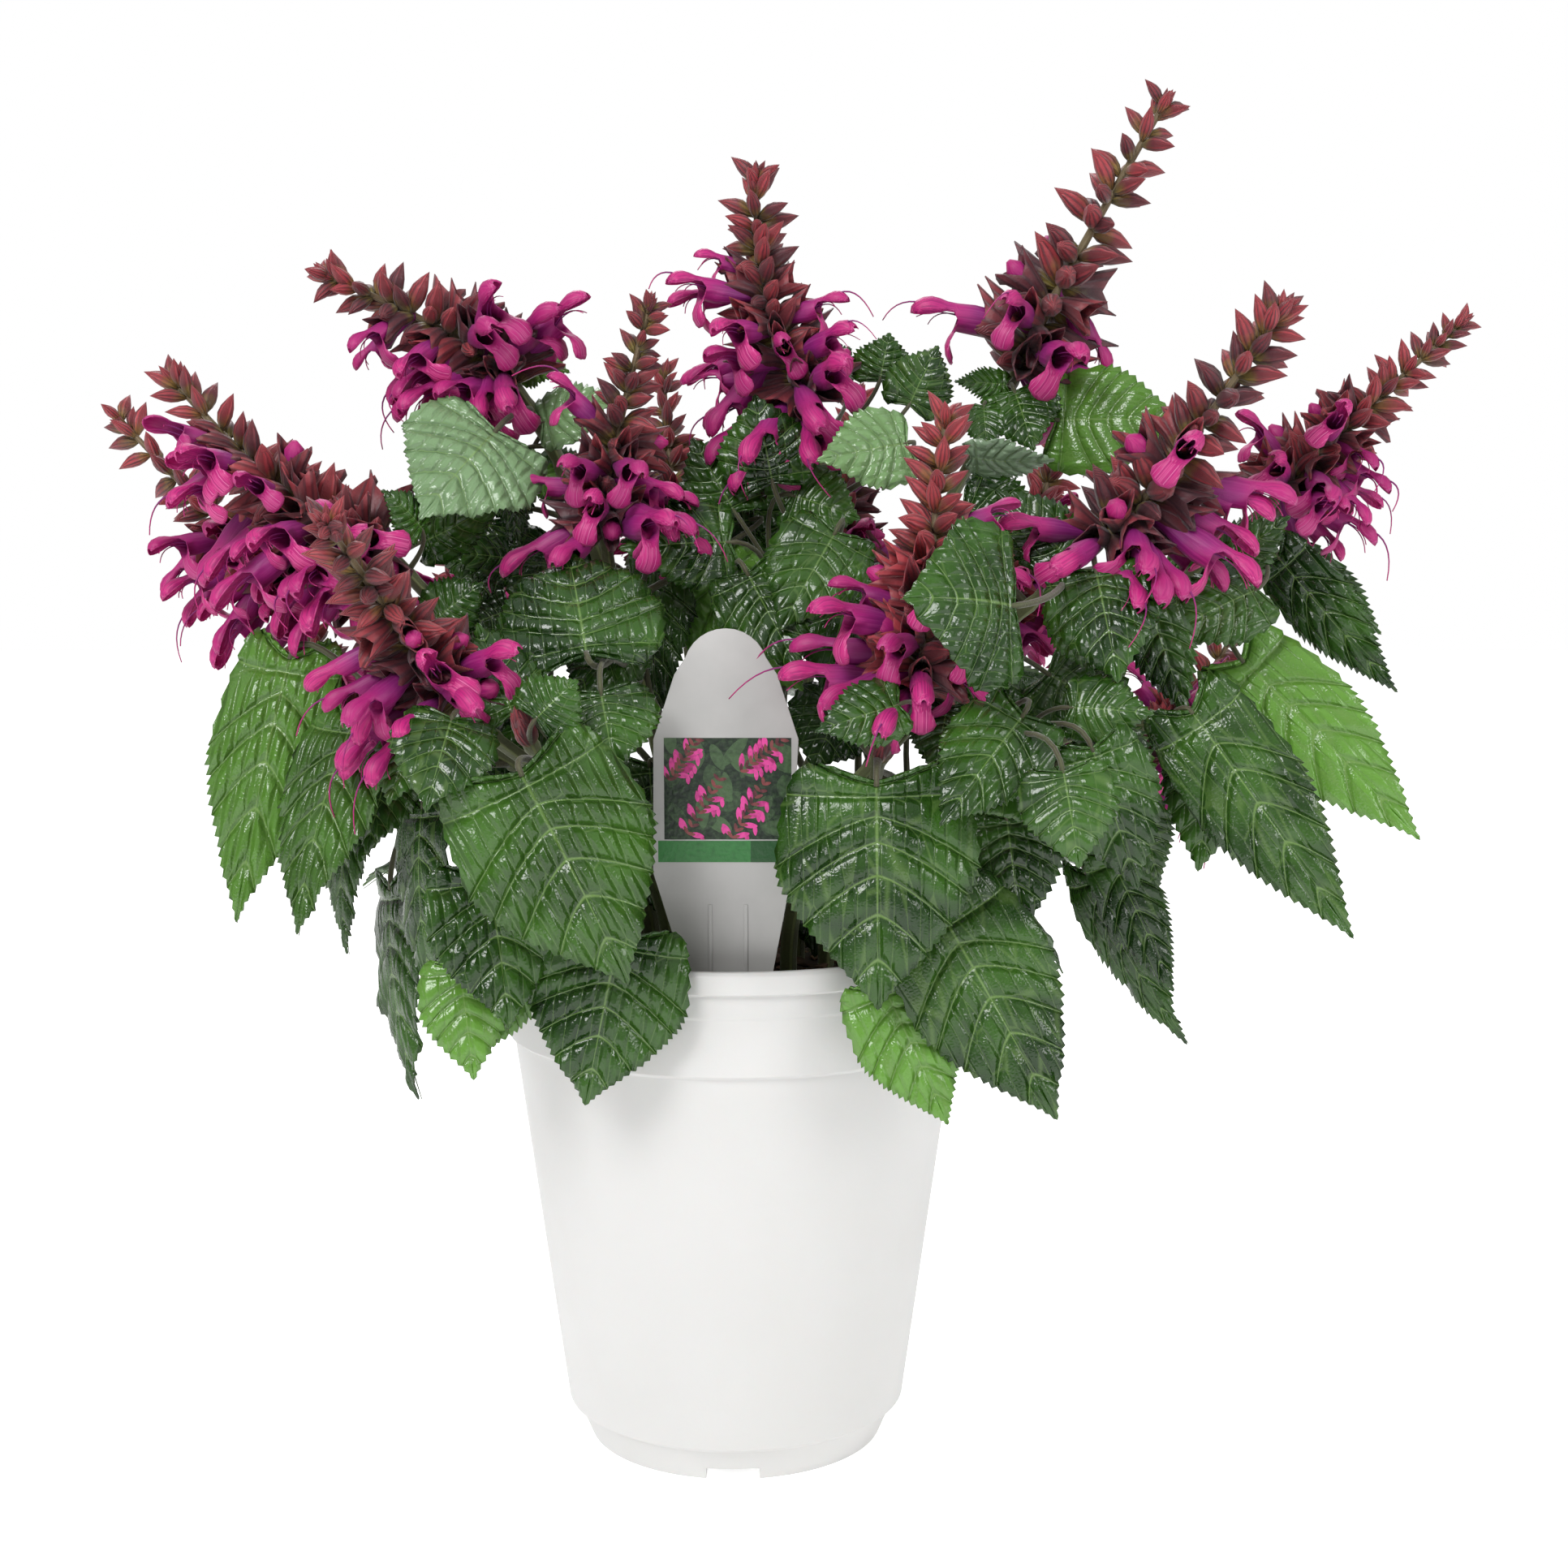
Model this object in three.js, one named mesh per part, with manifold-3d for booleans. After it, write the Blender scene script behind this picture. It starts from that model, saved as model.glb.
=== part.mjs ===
// Potted salvia: a white nursery pot of soil with a plant tag, leafy stems and flower spikes.
// Millimetres, +Z up. The origin is the middle of the pot's underside, and the front looks along -Y.
import * as THREE from "three";
import { mergeVertices } from "three/addons/utils/BufferGeometryUtils.js";
import Module from "manifold-3d";

const wasm = await Module();
wasm.setup();

// Driving dimensions of the pot.
const POT_HEIGHT = 125;
const RIM_RADIUS = 57;
const LIP_HEIGHT = 5.5;
const RECESS_RADIUS = 55.6;
const RECESS_BOTTOM = 114;
const BAND_RADIUS = 55.3;
const SHOULDER_HEIGHT = 100.3;
const WALL_TOP_RADIUS = 54;
const WALL_BOTTOM_RADIUS = 41.5;
const FOOT_STEP_HEIGHT = 9.3;
const FOOT_TOP_RADIUS = 39.4;
const FOOT_TOP_HEIGHT = 8;
const FOOT_RADIUS = 36;
const POT_WALL = 1.6;
const FLOOR_TOP = 7;
const NOTCH_WIDTH = 14;
const NOTCH_HEIGHT = 3;
const NOTCH_DEPTH = 9;
const NOTCH_COUNT = 3;
const POT_SIDES = 30;
const SOIL_SIDES = 24;

// Driving dimensions of the soil and of the tag.
const SOIL_TOP = 117;
const SOIL_CROWN = 119;
const SOIL_BOTTOM = FLOOR_TOP + 0.3;
const GAP = 0.3;
const HOLE_DEPTH = 34;
const HOLE_RADIUS = 2.9;
const TAG_THICKNESS = 0.8;
const TAG_DEPTH = -43;
const TAG_FOOT = 78;

// Driving dimensions of the plant.
const STEM_RADIUS = 2.1;
const STEM_TOP_RADIUS = 1.5;
const STEM_STEPS = 5;
const STEM_RISE = 36;
const PETIOLE_RADIUS = 0.9;
const BLADE_THICKNESS = 1.5;
const CUP = 0.14;
const STALK_STEPS = 2;
const CALYX_LENGTH = 14.5;
const CALYX_RADIUS = 2.5;
const HOOD_LENGTH = 23;
const LIP_LENGTH = 18;
const RACHIS_RADIUS = 1.25;
const BUD_LENGTH = 11;
const BUD_RADIUS = 3.2;
const BUD_SINK = 3;

// The viewpoint that the plant's places are given from: column and row of a square picture, and the
// distance behind the pot's axis.
const EYE = new THREE.Vector3(12, -536, 219);
const PITCH = THREE.MathUtils.degToRad(6.2);
const FOCAL = 2726;
const MIDDLE = 966;

function seen(column, row, depth) {
  const u = (column - MIDDLE) / FOCAL;
  const v = (MIDDLE - row) / FOCAL;
  const ray = new THREE.Vector3(
    u,
    Math.cos(PITCH) + v * Math.sin(PITCH),
    v * Math.cos(PITCH) - Math.sin(PITCH),
  );
  return ray.multiplyScalar((depth - EYE.y) / ray.y).add(EYE);
}

// Leafy stems: the foot in the soil, the point that the stem leans towards, and its top.
const STEMS = [
  { name: "stem_far_left", foot: [-20, -3], lean: [575, 790, -22], top: [474, 676, -24] },
  { name: "stem_outer_left", foot: [-29, 5], lean: [566, 800, 4], top: [420, 716, 4] },
  { name: "stem_front_left", foot: [-15, -16], lean: [640, 960, -50], top: [566, 868, -50] },
  { name: "stem_left", foot: [-12, 9], lean: [732, 606, 14], top: [634, 474, 12] },
  { name: "stem_middle_left", foot: [-6, -6], lean: [752, 800, -14], top: [746, 656, -12] },
  { name: "stem_middle", foot: [-2, 14], lean: [1036, 700, 16], top: [1004, 500, 12] },
  { name: "stem_tall", foot: [6, 13], lean: [1170, 640, 32], top: [1253, 458, 26] },
  { name: "stem_front", foot: [5, -18], lean: [1118, 960, -42], top: [1130, 846, -46] },
  { name: "stem_right", foot: [15, -5], lean: [1230, 776, -26], top: [1358, 668, -30] },
  { name: "stem_far_right", foot: [20, 5], lean: [1440, 760, 2], top: [1574, 612, 4] },
  { name: "stem_young_left", foot: [-9, -22], lean: [700, 1020, -58], top: [648, 905, -62], bud: true },
  { name: "stem_young_front", foot: [13, -24], lean: [1085, 1040, -54], top: [1082, 925, -56], bud: true },
  { name: "stem_low_right", foot: [22, -12], lean: [1200, 900, -40], top: [1442, 893, -44], bud: true },
  { name: "stem_low_left", foot: [-24, -10], lean: [600, 900, -34], top: [488, 894, -38], bud: true },
];

// Leaves seen from the front, by the stem they grow on: how far up it, the blade's base and tip, its
// width, its roll about the midrib, and how far the middle stands out.
const LEAVES = {
  stem_far_left: [
    { at: 0.97, base: [520, 668, -16], tip: [616, 612, -8], wide: 17, roll: 40, arch: 3 },
    { at: 0.92, base: [520, 652, -30], tip: [470, 604, -34], wide: 12, roll: 30, arch: 2 },
    { at: 0.7, base: [536, 764, -25], tip: [596, 718, -22], wide: 15, roll: 0, arch: 2 },
    { at: 0.5, base: [614, 846, -24], tip: [562, 776, -24], wide: 14, roll: 0, arch: 2 },
  ],
  stem_front_left: [
    { at: 0.85, base: [557, 884, -68], tip: [524, 1000, -84], wide: 23, roll: 0, arch: 4 },
    { at: 0.9, base: [512, 903, -58], tip: [478, 992, -66], wide: 15, roll: 15, arch: 2 },
  ],
  stem_left: [
    { at: 0.93, base: [612, 530, -10], tip: [516, 641, -32], wide: 35, roll: 0, arch: 6 },
    { at: 0.91, base: [668, 522, 8], tip: [762, 489, 6], wide: 17, roll: -20, arch: 3 },
    { at: 0.9, base: [644, 448, 26], tip: [702, 459, 22], wide: 13, roll: 0, arch: 8 },
    { at: 0.85, base: [628, 566, 12], tip: [641, 674, 6], wide: 14, roll: 35, arch: 2 },
    { at: 0.8, base: [664, 592, 26], tip: [736, 566, 30], wide: 14, roll: 0, arch: 1 },
    { at: 0.7, base: [640, 690, 12], tip: [548, 680, 4], wide: 14, roll: 0, arch: 2 },
    { at: 0.6, base: [628, 752, 8], tip: [540, 790, 2], wide: 24, roll: 20, arch: 2 },
  ],
  stem_middle_left: [
    { at: 0.72, base: [723, 808, -50], tip: [700, 680, -26], wide: 38, roll: 0, arch: 6 },
    { at: 0.62, base: [740, 852, -56], tip: [758, 956, -64], wide: 24, roll: 0, arch: 3 },
  ],
  stem_middle: [
    { at: 0.62, base: [906, 632, 0], tip: [852, 540, 6], wide: 20, roll: 0, arch: 2 },
    { at: 0.72, base: [952, 596, -2], tip: [930, 486, 0], wide: 24, roll: 0, arch: 3 },
    { at: 0.5, base: [900, 668, -14], tip: [762, 676, -22], wide: 22, roll: 0, arch: 3 },
    { at: 0.42, base: [1030, 655, -18], tip: [960, 778, -30], wide: 25, roll: 0, arch: 3 },
    { at: 0.36, base: [920, 705, -20], tip: [985, 830, -32], wide: 23, roll: 0, arch: 2 },
    { at: 0.55, base: [975, 610, 2], tip: [1060, 640, 0], wide: 20, roll: 0, arch: 2 },
    { at: 0.93, base: [1044, 478, 32], tip: [1030, 424, 38], wide: 15, roll: 0, arch: 1 },
    { at: 0.9, base: [1084, 470, 10], tip: [1096, 410, 12], wide: 16, roll: 0, arch: 1 },
    { at: 0.86, base: [1120, 500, 4], tip: [1156, 426, 6], wide: 17, roll: 0, arch: 2 },
    { at: 0.8, base: [1118, 546, -12], tip: [1006, 568, -20], wide: 20, roll: 0, arch: 3 },
  ],
  stem_tall: [
    { at: 0.97, base: [1250, 482, 18], tip: [1274, 556, 8], wide: 20, roll: 0, arch: 3 },
    { at: 0.92, base: [1212, 500, 16], tip: [1216, 556, 8], wide: 11, roll: 0, arch: 1 },
    { at: 0.99, base: [1240, 474, 22], tip: [1176, 470, 20], wide: 8, roll: 0, arch: 1 },
    { at: 0.9, base: [1300, 518, 14], tip: [1460, 520, 4], wide: 28, roll: 0, arch: 4 },
    { at: 0.84, base: [1196, 564, 4], tip: [1300, 566, 0], wide: 15, roll: 60, arch: 2 },
  ],
  stem_front: [
    { at: 0.7, base: [1046, 862, -24], tip: [1150, 806, -26], wide: 22, roll: 0, arch: 2 },
    { at: 0.93, base: [1168, 870, -50], tip: [1152, 955, -54], wide: 16, roll: 10, arch: 2 },
    { at: 0.86, base: [1108, 868, -64], tip: [1004, 902, -68], wide: 15, roll: 0, arch: 2 },
  ],
  stem_right: [
    { at: 0.9, base: [1251, 747, -58], tip: [1112, 737, -72], wide: 38, roll: 0, arch: 6 },
    { at: 0.97, base: [1350, 702, -44], tip: [1378, 842, -56], wide: 26, roll: 0, arch: 4 },
    { at: 0.94, base: [1320, 690, -34], tip: [1226, 604, -26], wide: 17, roll: 0, arch: 2 },
    { at: 0.84, base: [1310, 742, -44], tip: [1348, 832, -46], wide: 12, roll: 15, arch: 2 },
    { at: 0.6, base: [1336, 1072, -34], tip: [1463, 1287, -38], wide: 18, roll: 50, arch: 4 },
    { at: 0.66, base: [1366, 1052, -42], tip: [1446, 1222, -46], wide: 15, roll: 0, arch: 3 },
  ],
  stem_far_right: [
    { at: 0.86, base: [1528, 812, -18], tip: [1750, 1035, -28], wide: 27, roll: 0, arch: 5 },
    { at: 0.97, base: [1574, 686, -2], tip: [1722, 853, -10], wide: 17, roll: 20, arch: 4 },
    { at: 0.94, base: [1606, 690, 14], tip: [1702, 782, 14], wide: 12, roll: 0, arch: 1 },
    { at: 0.9, base: [1550, 726, -22], tip: [1428, 786, -28], wide: 20, roll: 0, arch: 3 },
    { at: 0.74, base: [1500, 702, -12], tip: [1590, 636, -14], wide: 15, roll: 0, arch: 2 },
    { at: 0.76, base: [1414, 742, -36], tip: [1462, 884, -38], wide: 15, roll: 0, arch: 2 },
  ],
  stem_young_left: [
    { at: 0.99, base: [632, 880, -68], tip: [588, 768, -58], wide: 18, roll: 0, arch: 3 },
    { at: 0.96, base: [660, 886, -70], tip: [712, 838, -66], wide: 16, roll: 0, arch: 2 },
    { at: 0.86, base: [640, 950, -76], tip: [774, 1213, -74], wide: 43, roll: 0, arch: 7 },
    { at: 0.7, base: [600, 1075, -60], tip: [627, 1268, -66], wide: 30, roll: -10, arch: 4 },
    { at: 0.5, base: [566, 1190, -57], tip: [584, 1331, -62], wide: 20, roll: 0, arch: 3 },
    { at: 0.4, base: [648, 1185, -56], tip: [601, 1296, -56], wide: 14, roll: 20, arch: 2 },
    { at: 0.6, base: [762, 1154, -60], tip: [721, 1362, -62], wide: 36, roll: 0, arch: 4 },
  ],
  stem_young_front: [
    { at: 0.97, base: [1080, 962, -66], tip: [1082, 1245, -70], wide: 44, roll: 0, arch: 6 },
    { at: 0.5, base: [1158, 1122, -60], tip: [1303, 1380, -62], wide: 35, roll: 0, arch: 5 },
    { at: 0.4, base: [1088, 1214, -60], tip: [1168, 1386, -62], wide: 24, roll: 0, arch: 3 },
  ],
  stem_low_right: [
    { at: 0.38, base: [1262, 880, -60], tip: [1158, 1018, -76], wide: 24, roll: 0, arch: 3 },
    { at: 0.99, base: [1462, 878, -50], tip: [1668, 1157, -60], wide: 29, roll: 5, arch: 6 },
    { at: 0.96, base: [1500, 906, -40], tip: [1476, 1074, -44], wide: 22, roll: 0, arch: 3 },
    { at: 0.8, base: [1340, 902, -52], tip: [1432, 973, -56], wide: 16, roll: 0, arch: 2 },
    { at: 0.72, base: [1318, 872, -54], tip: [1422, 880, -58], wide: 16, roll: 0, arch: 2 },
    { at: 0.5, base: [1304, 940, -62], tip: [1214, 1002, -66], wide: 27, roll: 0, arch: 3 },
    { at: 0.55, base: [1310, 950, -76], tip: [1330, 1070, -80], wide: 21, roll: 0, arch: 5 },
    { at: 0.62, base: [1345, 920, -62], tip: [1402, 1096, -62], wide: 23, roll: 0, arch: 3 },
    { at: 0.68, base: [1392, 990, -48], tip: [1430, 1086, -50], wide: 15, roll: 0, arch: 1 },
    { at: 0.42, base: [1240, 1005, -50], tip: [1258, 1152, -54], wide: 23, roll: 0, arch: 3 },
  ],
  stem_low_left: [
    { at: 0.97, base: [346, 806, -30], tip: [291, 1137, -42], wide: 33, roll: 14, arch: 6 },
    { at: 0.93, base: [436, 886, -44], tip: [366, 1152, -58], wide: 28, roll: 34, arch: 6 },
    { at: 0.88, base: [432, 975, -30], tip: [428, 1176, -34], wide: 20, roll: 55, arch: 4 },
    { at: 0.8, base: [482, 940, -40], tip: [452, 1053, -46], wide: 17, roll: 20, arch: 2 },
    { at: 0.72, base: [480, 1090, -24], tip: [516, 1355, -30], wide: 30, roll: 72, arch: 5 },
    { at: 0.62, base: [520, 990, -46], tip: [538, 1235, -50], wide: 22, roll: 58, arch: 5 },
  ],
};

// Flower spikes on the stems: the base and tip of the axis, how full it is, its rings of calyxes and
// its open flowers, each given by its ring and its clock angle: 0 is to the right, 270 to the front.
const SPIKES = [
  {
    name: "spike_far_left", stem: "stem_far_left", tip: [203, 458, -14], size: 1, whorls: 7, turn: 20,
    open: [[0, 250], [1, 205], [2, 250], [2, 160], [3, 205], [4, 250]],
  },
  {
    name: "spike_outer_left", stem: "stem_outer_left", tip: [140, 508, 12], size: 0.85, whorls: 7, turn: 20,
    open: [[1, 205], [2, 160], [2, 250], [3, 205]],
  },
  {
    name: "spike_front_left", stem: "stem_front_left", tip: [398, 640, -84], size: 1, whorls: 6, turn: 20,
    open: [[0, 70], [1, 205], [2, 160], [2, 250], [3, 205], [1, 115]],
  },
  {
    name: "spike_left", stem: "stem_left", tip: [398, 338, 2], size: 1, whorls: 6, turn: 20,
    open: [[0, 250], [1, 205], [2, 160], [2, 250], [3, 205], [2, 340]],
  },
  {
    name: "spike_middle_left", stem: "stem_middle_left", tip: [802, 372, -16], size: 0.95, whorls: 6,
    turn: 20,
    open: [[0, 250], [3, 295], [1, 205], [1, 295], [2, 340], [2, 160]],
  },
  {
    name: "spike_middle", stem: "stem_middle", tip: [932, 214, 10], size: 1, whorls: 6, turn: 20,
    open: [[0, 250], [1, 205], [1, 295], [2, 160], [3, 205], [3, 25]],
  },
  {
    name: "spike_tall", stem: "stem_tall", tip: [1438, 122, 22], size: 1, whorls: 7, turn: 20,
    open: [[0, 340], [1, 295], [1, 25], [2, 250], [3, 205], [2, 340]],
  },
  {
    name: "spike_front", stem: "stem_front", tip: [1166, 512, -38], size: 1, whorls: 6, turn: 20,
    open: [[0, 250], [1, 205], [2, 160], [2, 250], [3, 295], [3, 205]],
  },
  {
    name: "spike_right", stem: "stem_right", tip: [1584, 376, -34], size: 1.05, whorls: 7, turn: 20,
    open: [[0, 160], [0, 250], [1, 205], [1, 295], [2, 250], [2, 340]],
  },
  {
    name: "spike_far_right", stem: "stem_far_right", tip: [1808, 392, 8], size: 0.9, whorls: 7, turn: 20,
    open: [[0, 340], [1, 295], [1, 205], [2, 250], [0, 250], [2, 340]],
  },
];

// Spikes and leaves round the back, placed by rule: each shoot's turn about the pot's axis and the
// reach and height of its stem top and of its spike's tip.
const BACK_SHOOTS = [
  { turn: 20, reach: 102, height: 158, tipReach: 142, tipHeight: 200 },
  { turn: 45, reach: 92, height: 196, tipReach: 134, tipHeight: 258 },
  { turn: 70, reach: 70, height: 206, tipReach: 98, tipHeight: 262 },
  { turn: 103, reach: 72, height: 208, tipReach: 98, tipHeight: 268 },
  { turn: 135, reach: 88, height: 184, tipReach: 122, tipHeight: 246 },
  { turn: 161, reach: 96, height: 166, tipReach: 122, tipHeight: 206 },
];
const BACK_FOOT_RADIUS = 26;
// Rings of back leaves: how many, the first one's turn, the blade's base and tip.
const BACK_RINGS = [
  { count: 5, turn: 36, reach: 66, height: 132, tipReach: 104, tipHeight: 96, wide: 32, at: 0.5 },
  { count: 6, turn: 26, reach: 60, height: 152, tipReach: 112, tipHeight: 128, wide: 28, at: 0.62 },
  { count: 6, turn: 14, reach: 50, height: 182, tipReach: 96, tipHeight: 172, wide: 27, at: 0.42 },
  { count: 3, turn: 56, reach: 48, height: 208, tipReach: 76, tipHeight: 213, wide: 20, at: 0.48 },
];

const UP = new THREE.Vector3(0, 0, 1);
const RIGHT = new THREE.Vector3(1, 0, 0);
const STEM_SIDE = new THREE.Vector3(1, 0.3, 0);

function polar(turn, reach, height) {
  const angle = THREE.MathUtils.degToRad(turn);
  return new THREE.Vector3(reach * Math.cos(angle), reach * Math.sin(angle), height);
}

// One solid from points and triangles.
function solid(points, triangles) {
  const vertProperties = new Float32Array(points.flatMap((p) => [p.x, p.y, p.z]));
  const triVerts = new Uint32Array(triangles.flat());
  return new wasm.Manifold(new wasm.Mesh({ numProp: 3, vertProperties, triVerts }));
}

function solidOf(geometry) {
  const bare = geometry.clone();
  bare.deleteAttribute("normal");
  bare.deleteAttribute("uv");
  const merged = mergeVertices(bare, 1e-3);
  const vertProperties = new Float32Array(merged.attributes.position.array);
  const triVerts = new Uint32Array(merged.index.array);
  return new wasm.Manifold(new wasm.Mesh({ numProp: 3, vertProperties, triVerts }));
}

// The largest body of a solid, without loose scraps and sealed hollows.
function mainBody(made) {
  const bodies = made.decompose();
  return bodies.reduce((best, body) => (body.volume() > best.volume() ? body : best));
}

function addMesh(name, made, finish) {
  const mesh = mainBody(made.setTolerance(0.004)).getMesh();
  const geometry = new THREE.BufferGeometry();
  geometry.setAttribute("position", new THREE.BufferAttribute(new Float32Array(mesh.vertProperties), 3));
  geometry.setIndex(new THREE.BufferAttribute(new Uint32Array(mesh.triVerts), 1));
  const node = new THREE.Mesh(geometry, new THREE.MeshStandardMaterial(finish));
  node.name = name;
  group.add(node);
}

// A square stem round its curve, standing straight down into its hole.
function tube(curve) {
  const points = [];
  const triangles = [];
  const ring = (centre, along, radius) => {
    const across = STEM_SIDE.clone().addScaledVector(along, -STEM_SIDE.dot(along)).normalize();
    const third = along.clone().cross(across);
    for (const [a, b] of [[1, 0], [0, 1], [-1, 0], [0, -1]]) {
      points.push(centre.clone().addScaledVector(across, a * radius).addScaledVector(third, b * radius));
    }
  };
  ring(curve.getPoint(0).setZ(SOIL_CROWN + GAP - HOLE_DEPTH), UP, STEM_RADIUS);
  for (let i = 0; i <= STEM_STEPS; i += 1) {
    const t = i / STEM_STEPS;
    ring(curve.getPoint(t), curve.getTangent(t), THREE.MathUtils.lerp(STEM_RADIUS, STEM_TOP_RADIUS, t));
  }
  for (let a = 0; a + 4 < points.length; a += 1) {
    const b = a % 4 === 3 ? a - 3 : a + 1;
    triangles.push([a, b, b + 4], [a, b + 4, a + 4]);
  }
  const last = points.length - 4;
  triangles.push([0, 2, 1], [0, 3, 2], [last, last + 1, last + 2], [last, last + 2, last + 3]);
  return solid(points, triangles);
}

// A three-sided spindle between two points, widest at a share of its length.
function spindle(root, tip, radius, widest, side) {
  const along = tip.clone().sub(root).normalize();
  const across = side.clone().addScaledVector(along, -side.dot(along)).normalize();
  const third = along.clone().cross(across);
  const middle = root.clone().lerp(tip, widest);
  const points = [root];
  for (const angle of [90, 210, 330].map(THREE.MathUtils.degToRad)) {
    points.push(middle.clone()
      .addScaledVector(across, radius * Math.cos(angle))
      .addScaledVector(third, radius * Math.sin(angle)));
  }
  points.push(tip);
  return solid(points, [[0, 2, 1], [0, 3, 2], [0, 1, 3], [4, 1, 2], [4, 2, 3], [4, 3, 1]]);
}

// Which way a leaf faces: towards the viewpoint at the front, and out and up at the back.
function facing(place) {
  if (place.y < 34) {
    return EYE.clone().sub(place).normalize().addScaledVector(UP, 0.25).normalize();
  }
  return new THREE.Vector3(place.x, place.y, 0).normalize().addScaledVector(UP, 0.8).normalize();
}

// The frame of a leaf: its midrib curve, its facing and its sideways direction.
function leafFrame(leaf) {
  const along = leaf.tip.clone().sub(leaf.base).normalize();
  const middle = leaf.base.clone().lerp(leaf.tip, 0.5);
  const face = facing(middle);
  face.addScaledVector(along, -face.dot(along)).normalize();
  face.applyAxisAngle(along, THREE.MathUtils.degToRad(leaf.roll));
  const bend = middle.clone().addScaledVector(face, leaf.arch);
  return { midrib: new THREE.QuadraticBezierCurve3(leaf.base, bend, leaf.tip), face, along };
}

// Half of the leaf's width and its reach along the midrib, from the notch at the base to the tip.
function margin(s) {
  const out = 1.08 * Math.pow(Math.sin(Math.PI * Math.pow(s, 0.6)), 0.9) * (1 - 0.24 * s);
  const reach = s - 0.1 * Math.sin(Math.PI * Math.min(1, s / 0.4));
  return { out, reach };
}

// A leaf in one closed mesh: a blade whose margin has rounded teeth, thick at the midrib and thin at
// the edge with both faces split into triangles alike, and a four-sided stalk back into the stem.
function leafSolid(leaf, stemPoint) {
  const { midrib, face, along } = leafFrame(leaf);
  const length = leaf.base.distanceTo(leaf.tip);
  const teeth = length > 44 ? 6 : length > 30 ? 4 : 3;
  const ribs = length > 36 ? 4 : length > 24 ? 3 : 2;
  const points = [];
  const triangles = [];
  const add = (point) => points.push(point) - 1;
  const top = [];
  const under = [];
  for (let i = 0; i < ribs; i += 1) {
    const t = i / ribs;
    const thick = (BLADE_THICKNESS / 2) * (1 - 0.35 * t);
    top.push(add(midrib.getPoint(t).addScaledVector(face, thick)));
    under.push(add(midrib.getPoint(t).addScaledVector(face, -thick)));
  }
  const tip = add(leaf.tip.clone());
  const across = along.clone().cross(face).normalize();
  const ring = [top[0], 0, under[0], 0];
  for (const hand of [1, -1]) {
    const shoulder = add(leaf.base.clone().addScaledVector(across, hand * PETIOLE_RADIUS));
    ring[hand > 0 ? 1 : 3] = shoulder;
    const edge = [{ t: -1, index: shoulder }];
    const steps = 2 * teeth - 1;
    for (let k = 0; k < steps; k += 1) {
      const { out, reach } = margin((k + 0.6) / (steps + 0.4));
      const tooth = k % 2 === 0 ? 1.05 : 0.9;
      const tangent = midrib.getTangent(THREE.MathUtils.clamp(reach, 0, 1));
      const sideways = tangent.clone().cross(face).normalize();
      const centre = midrib.getPoint(Math.max(reach, 0));
      const far = (leaf.wide / 2) * out * tooth;
      centre.addScaledVector(tangent, Math.min(reach, 0) * length);
      centre.addScaledVector(sideways, hand * far).addScaledVector(face, -CUP * far * out);
      edge.push({ t: reach, index: add(centre) });
    }
    for (const [ribLine, turned] of [[[...top, tip], hand > 0], [[...under, tip], hand < 0]]) {
      for (const triangle of zip(ribLine, edge, ribs)) {
        triangles.push(turned ? triangle.reverse() : triangle);
      }
    }
  }
  const end = stemPoint.clone();
  const reach = end.distanceTo(leaf.base);
  const bend = leaf.base.clone().addScaledVector(along, -0.45 * reach).addScaledVector(UP, 0.1 * reach);
  const stalk = new THREE.QuadraticBezierCurve3(leaf.base, bend, end);
  const rings = [ring];
  const turn = new THREE.Quaternion();
  for (let i = 1; i <= STALK_STEPS; i += 1) {
    const centre = stalk.getPoint(i / STALK_STEPS);
    turn.setFromUnitVectors(along.clone().negate(), stalk.getTangent(i / STALK_STEPS));
    const spokes = [face.clone(), across.clone(), face.clone().negate(), across.clone().negate()];
    rings.push(spokes.map((spoke) =>
      add(centre.clone().addScaledVector(spoke.applyQuaternion(turn), PETIOLE_RADIUS))));
  }
  for (let i = 0; i < STALK_STEPS; i += 1) {
    for (let k = 0; k < 4; k += 1) {
      const next = (k + 1) % 4;
      triangles.push([rings[i][k], rings[i + 1][k], rings[i + 1][next]]);
      triangles.push([rings[i][k], rings[i + 1][next], rings[i][next]]);
    }
  }
  const last = rings[STALK_STEPS];
  triangles.push([last[0], last[2], last[1]], [last[0], last[3], last[2]]);
  return solid(points, triangles);
}

// The triangles between a midrib and one margin, taken in step from the base to the tip.
function zip(ribLine, edge, ribs) {
  const triangles = [];
  let i = 0;
  let j = 0;
  while (i < ribs - 1 || j < edge.length - 1) {
    const ribNext = i < ribs - 1 ? (i + 1) / ribs : 9;
    const edgeNext = j < edge.length - 1 ? edge[j + 1].t : 9;
    if (ribNext < edgeNext) {
      triangles.push([ribLine[i], ribLine[i + 1], edge[j].index]);
      i += 1;
    } else {
      triangles.push([ribLine[i], edge[j + 1].index, edge[j].index]);
      j += 1;
    }
  }
  triangles.push([ribLine[i], ribLine[ribs], edge[j].index]);
  return triangles;
}

// A stem's curve above the soil. It leaves its hole upright.
function stemCurve(foot, lean, top) {
  const start = new THREE.Vector3(foot.x, foot.y, SOIL_CROWN + 1);
  const rise = new THREE.Vector3(foot.x, foot.y, SOIL_CROWN + 1 + STEM_RISE);
  return new THREE.CubicBezierCurve3(start, rise, lean, top);
}

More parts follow.
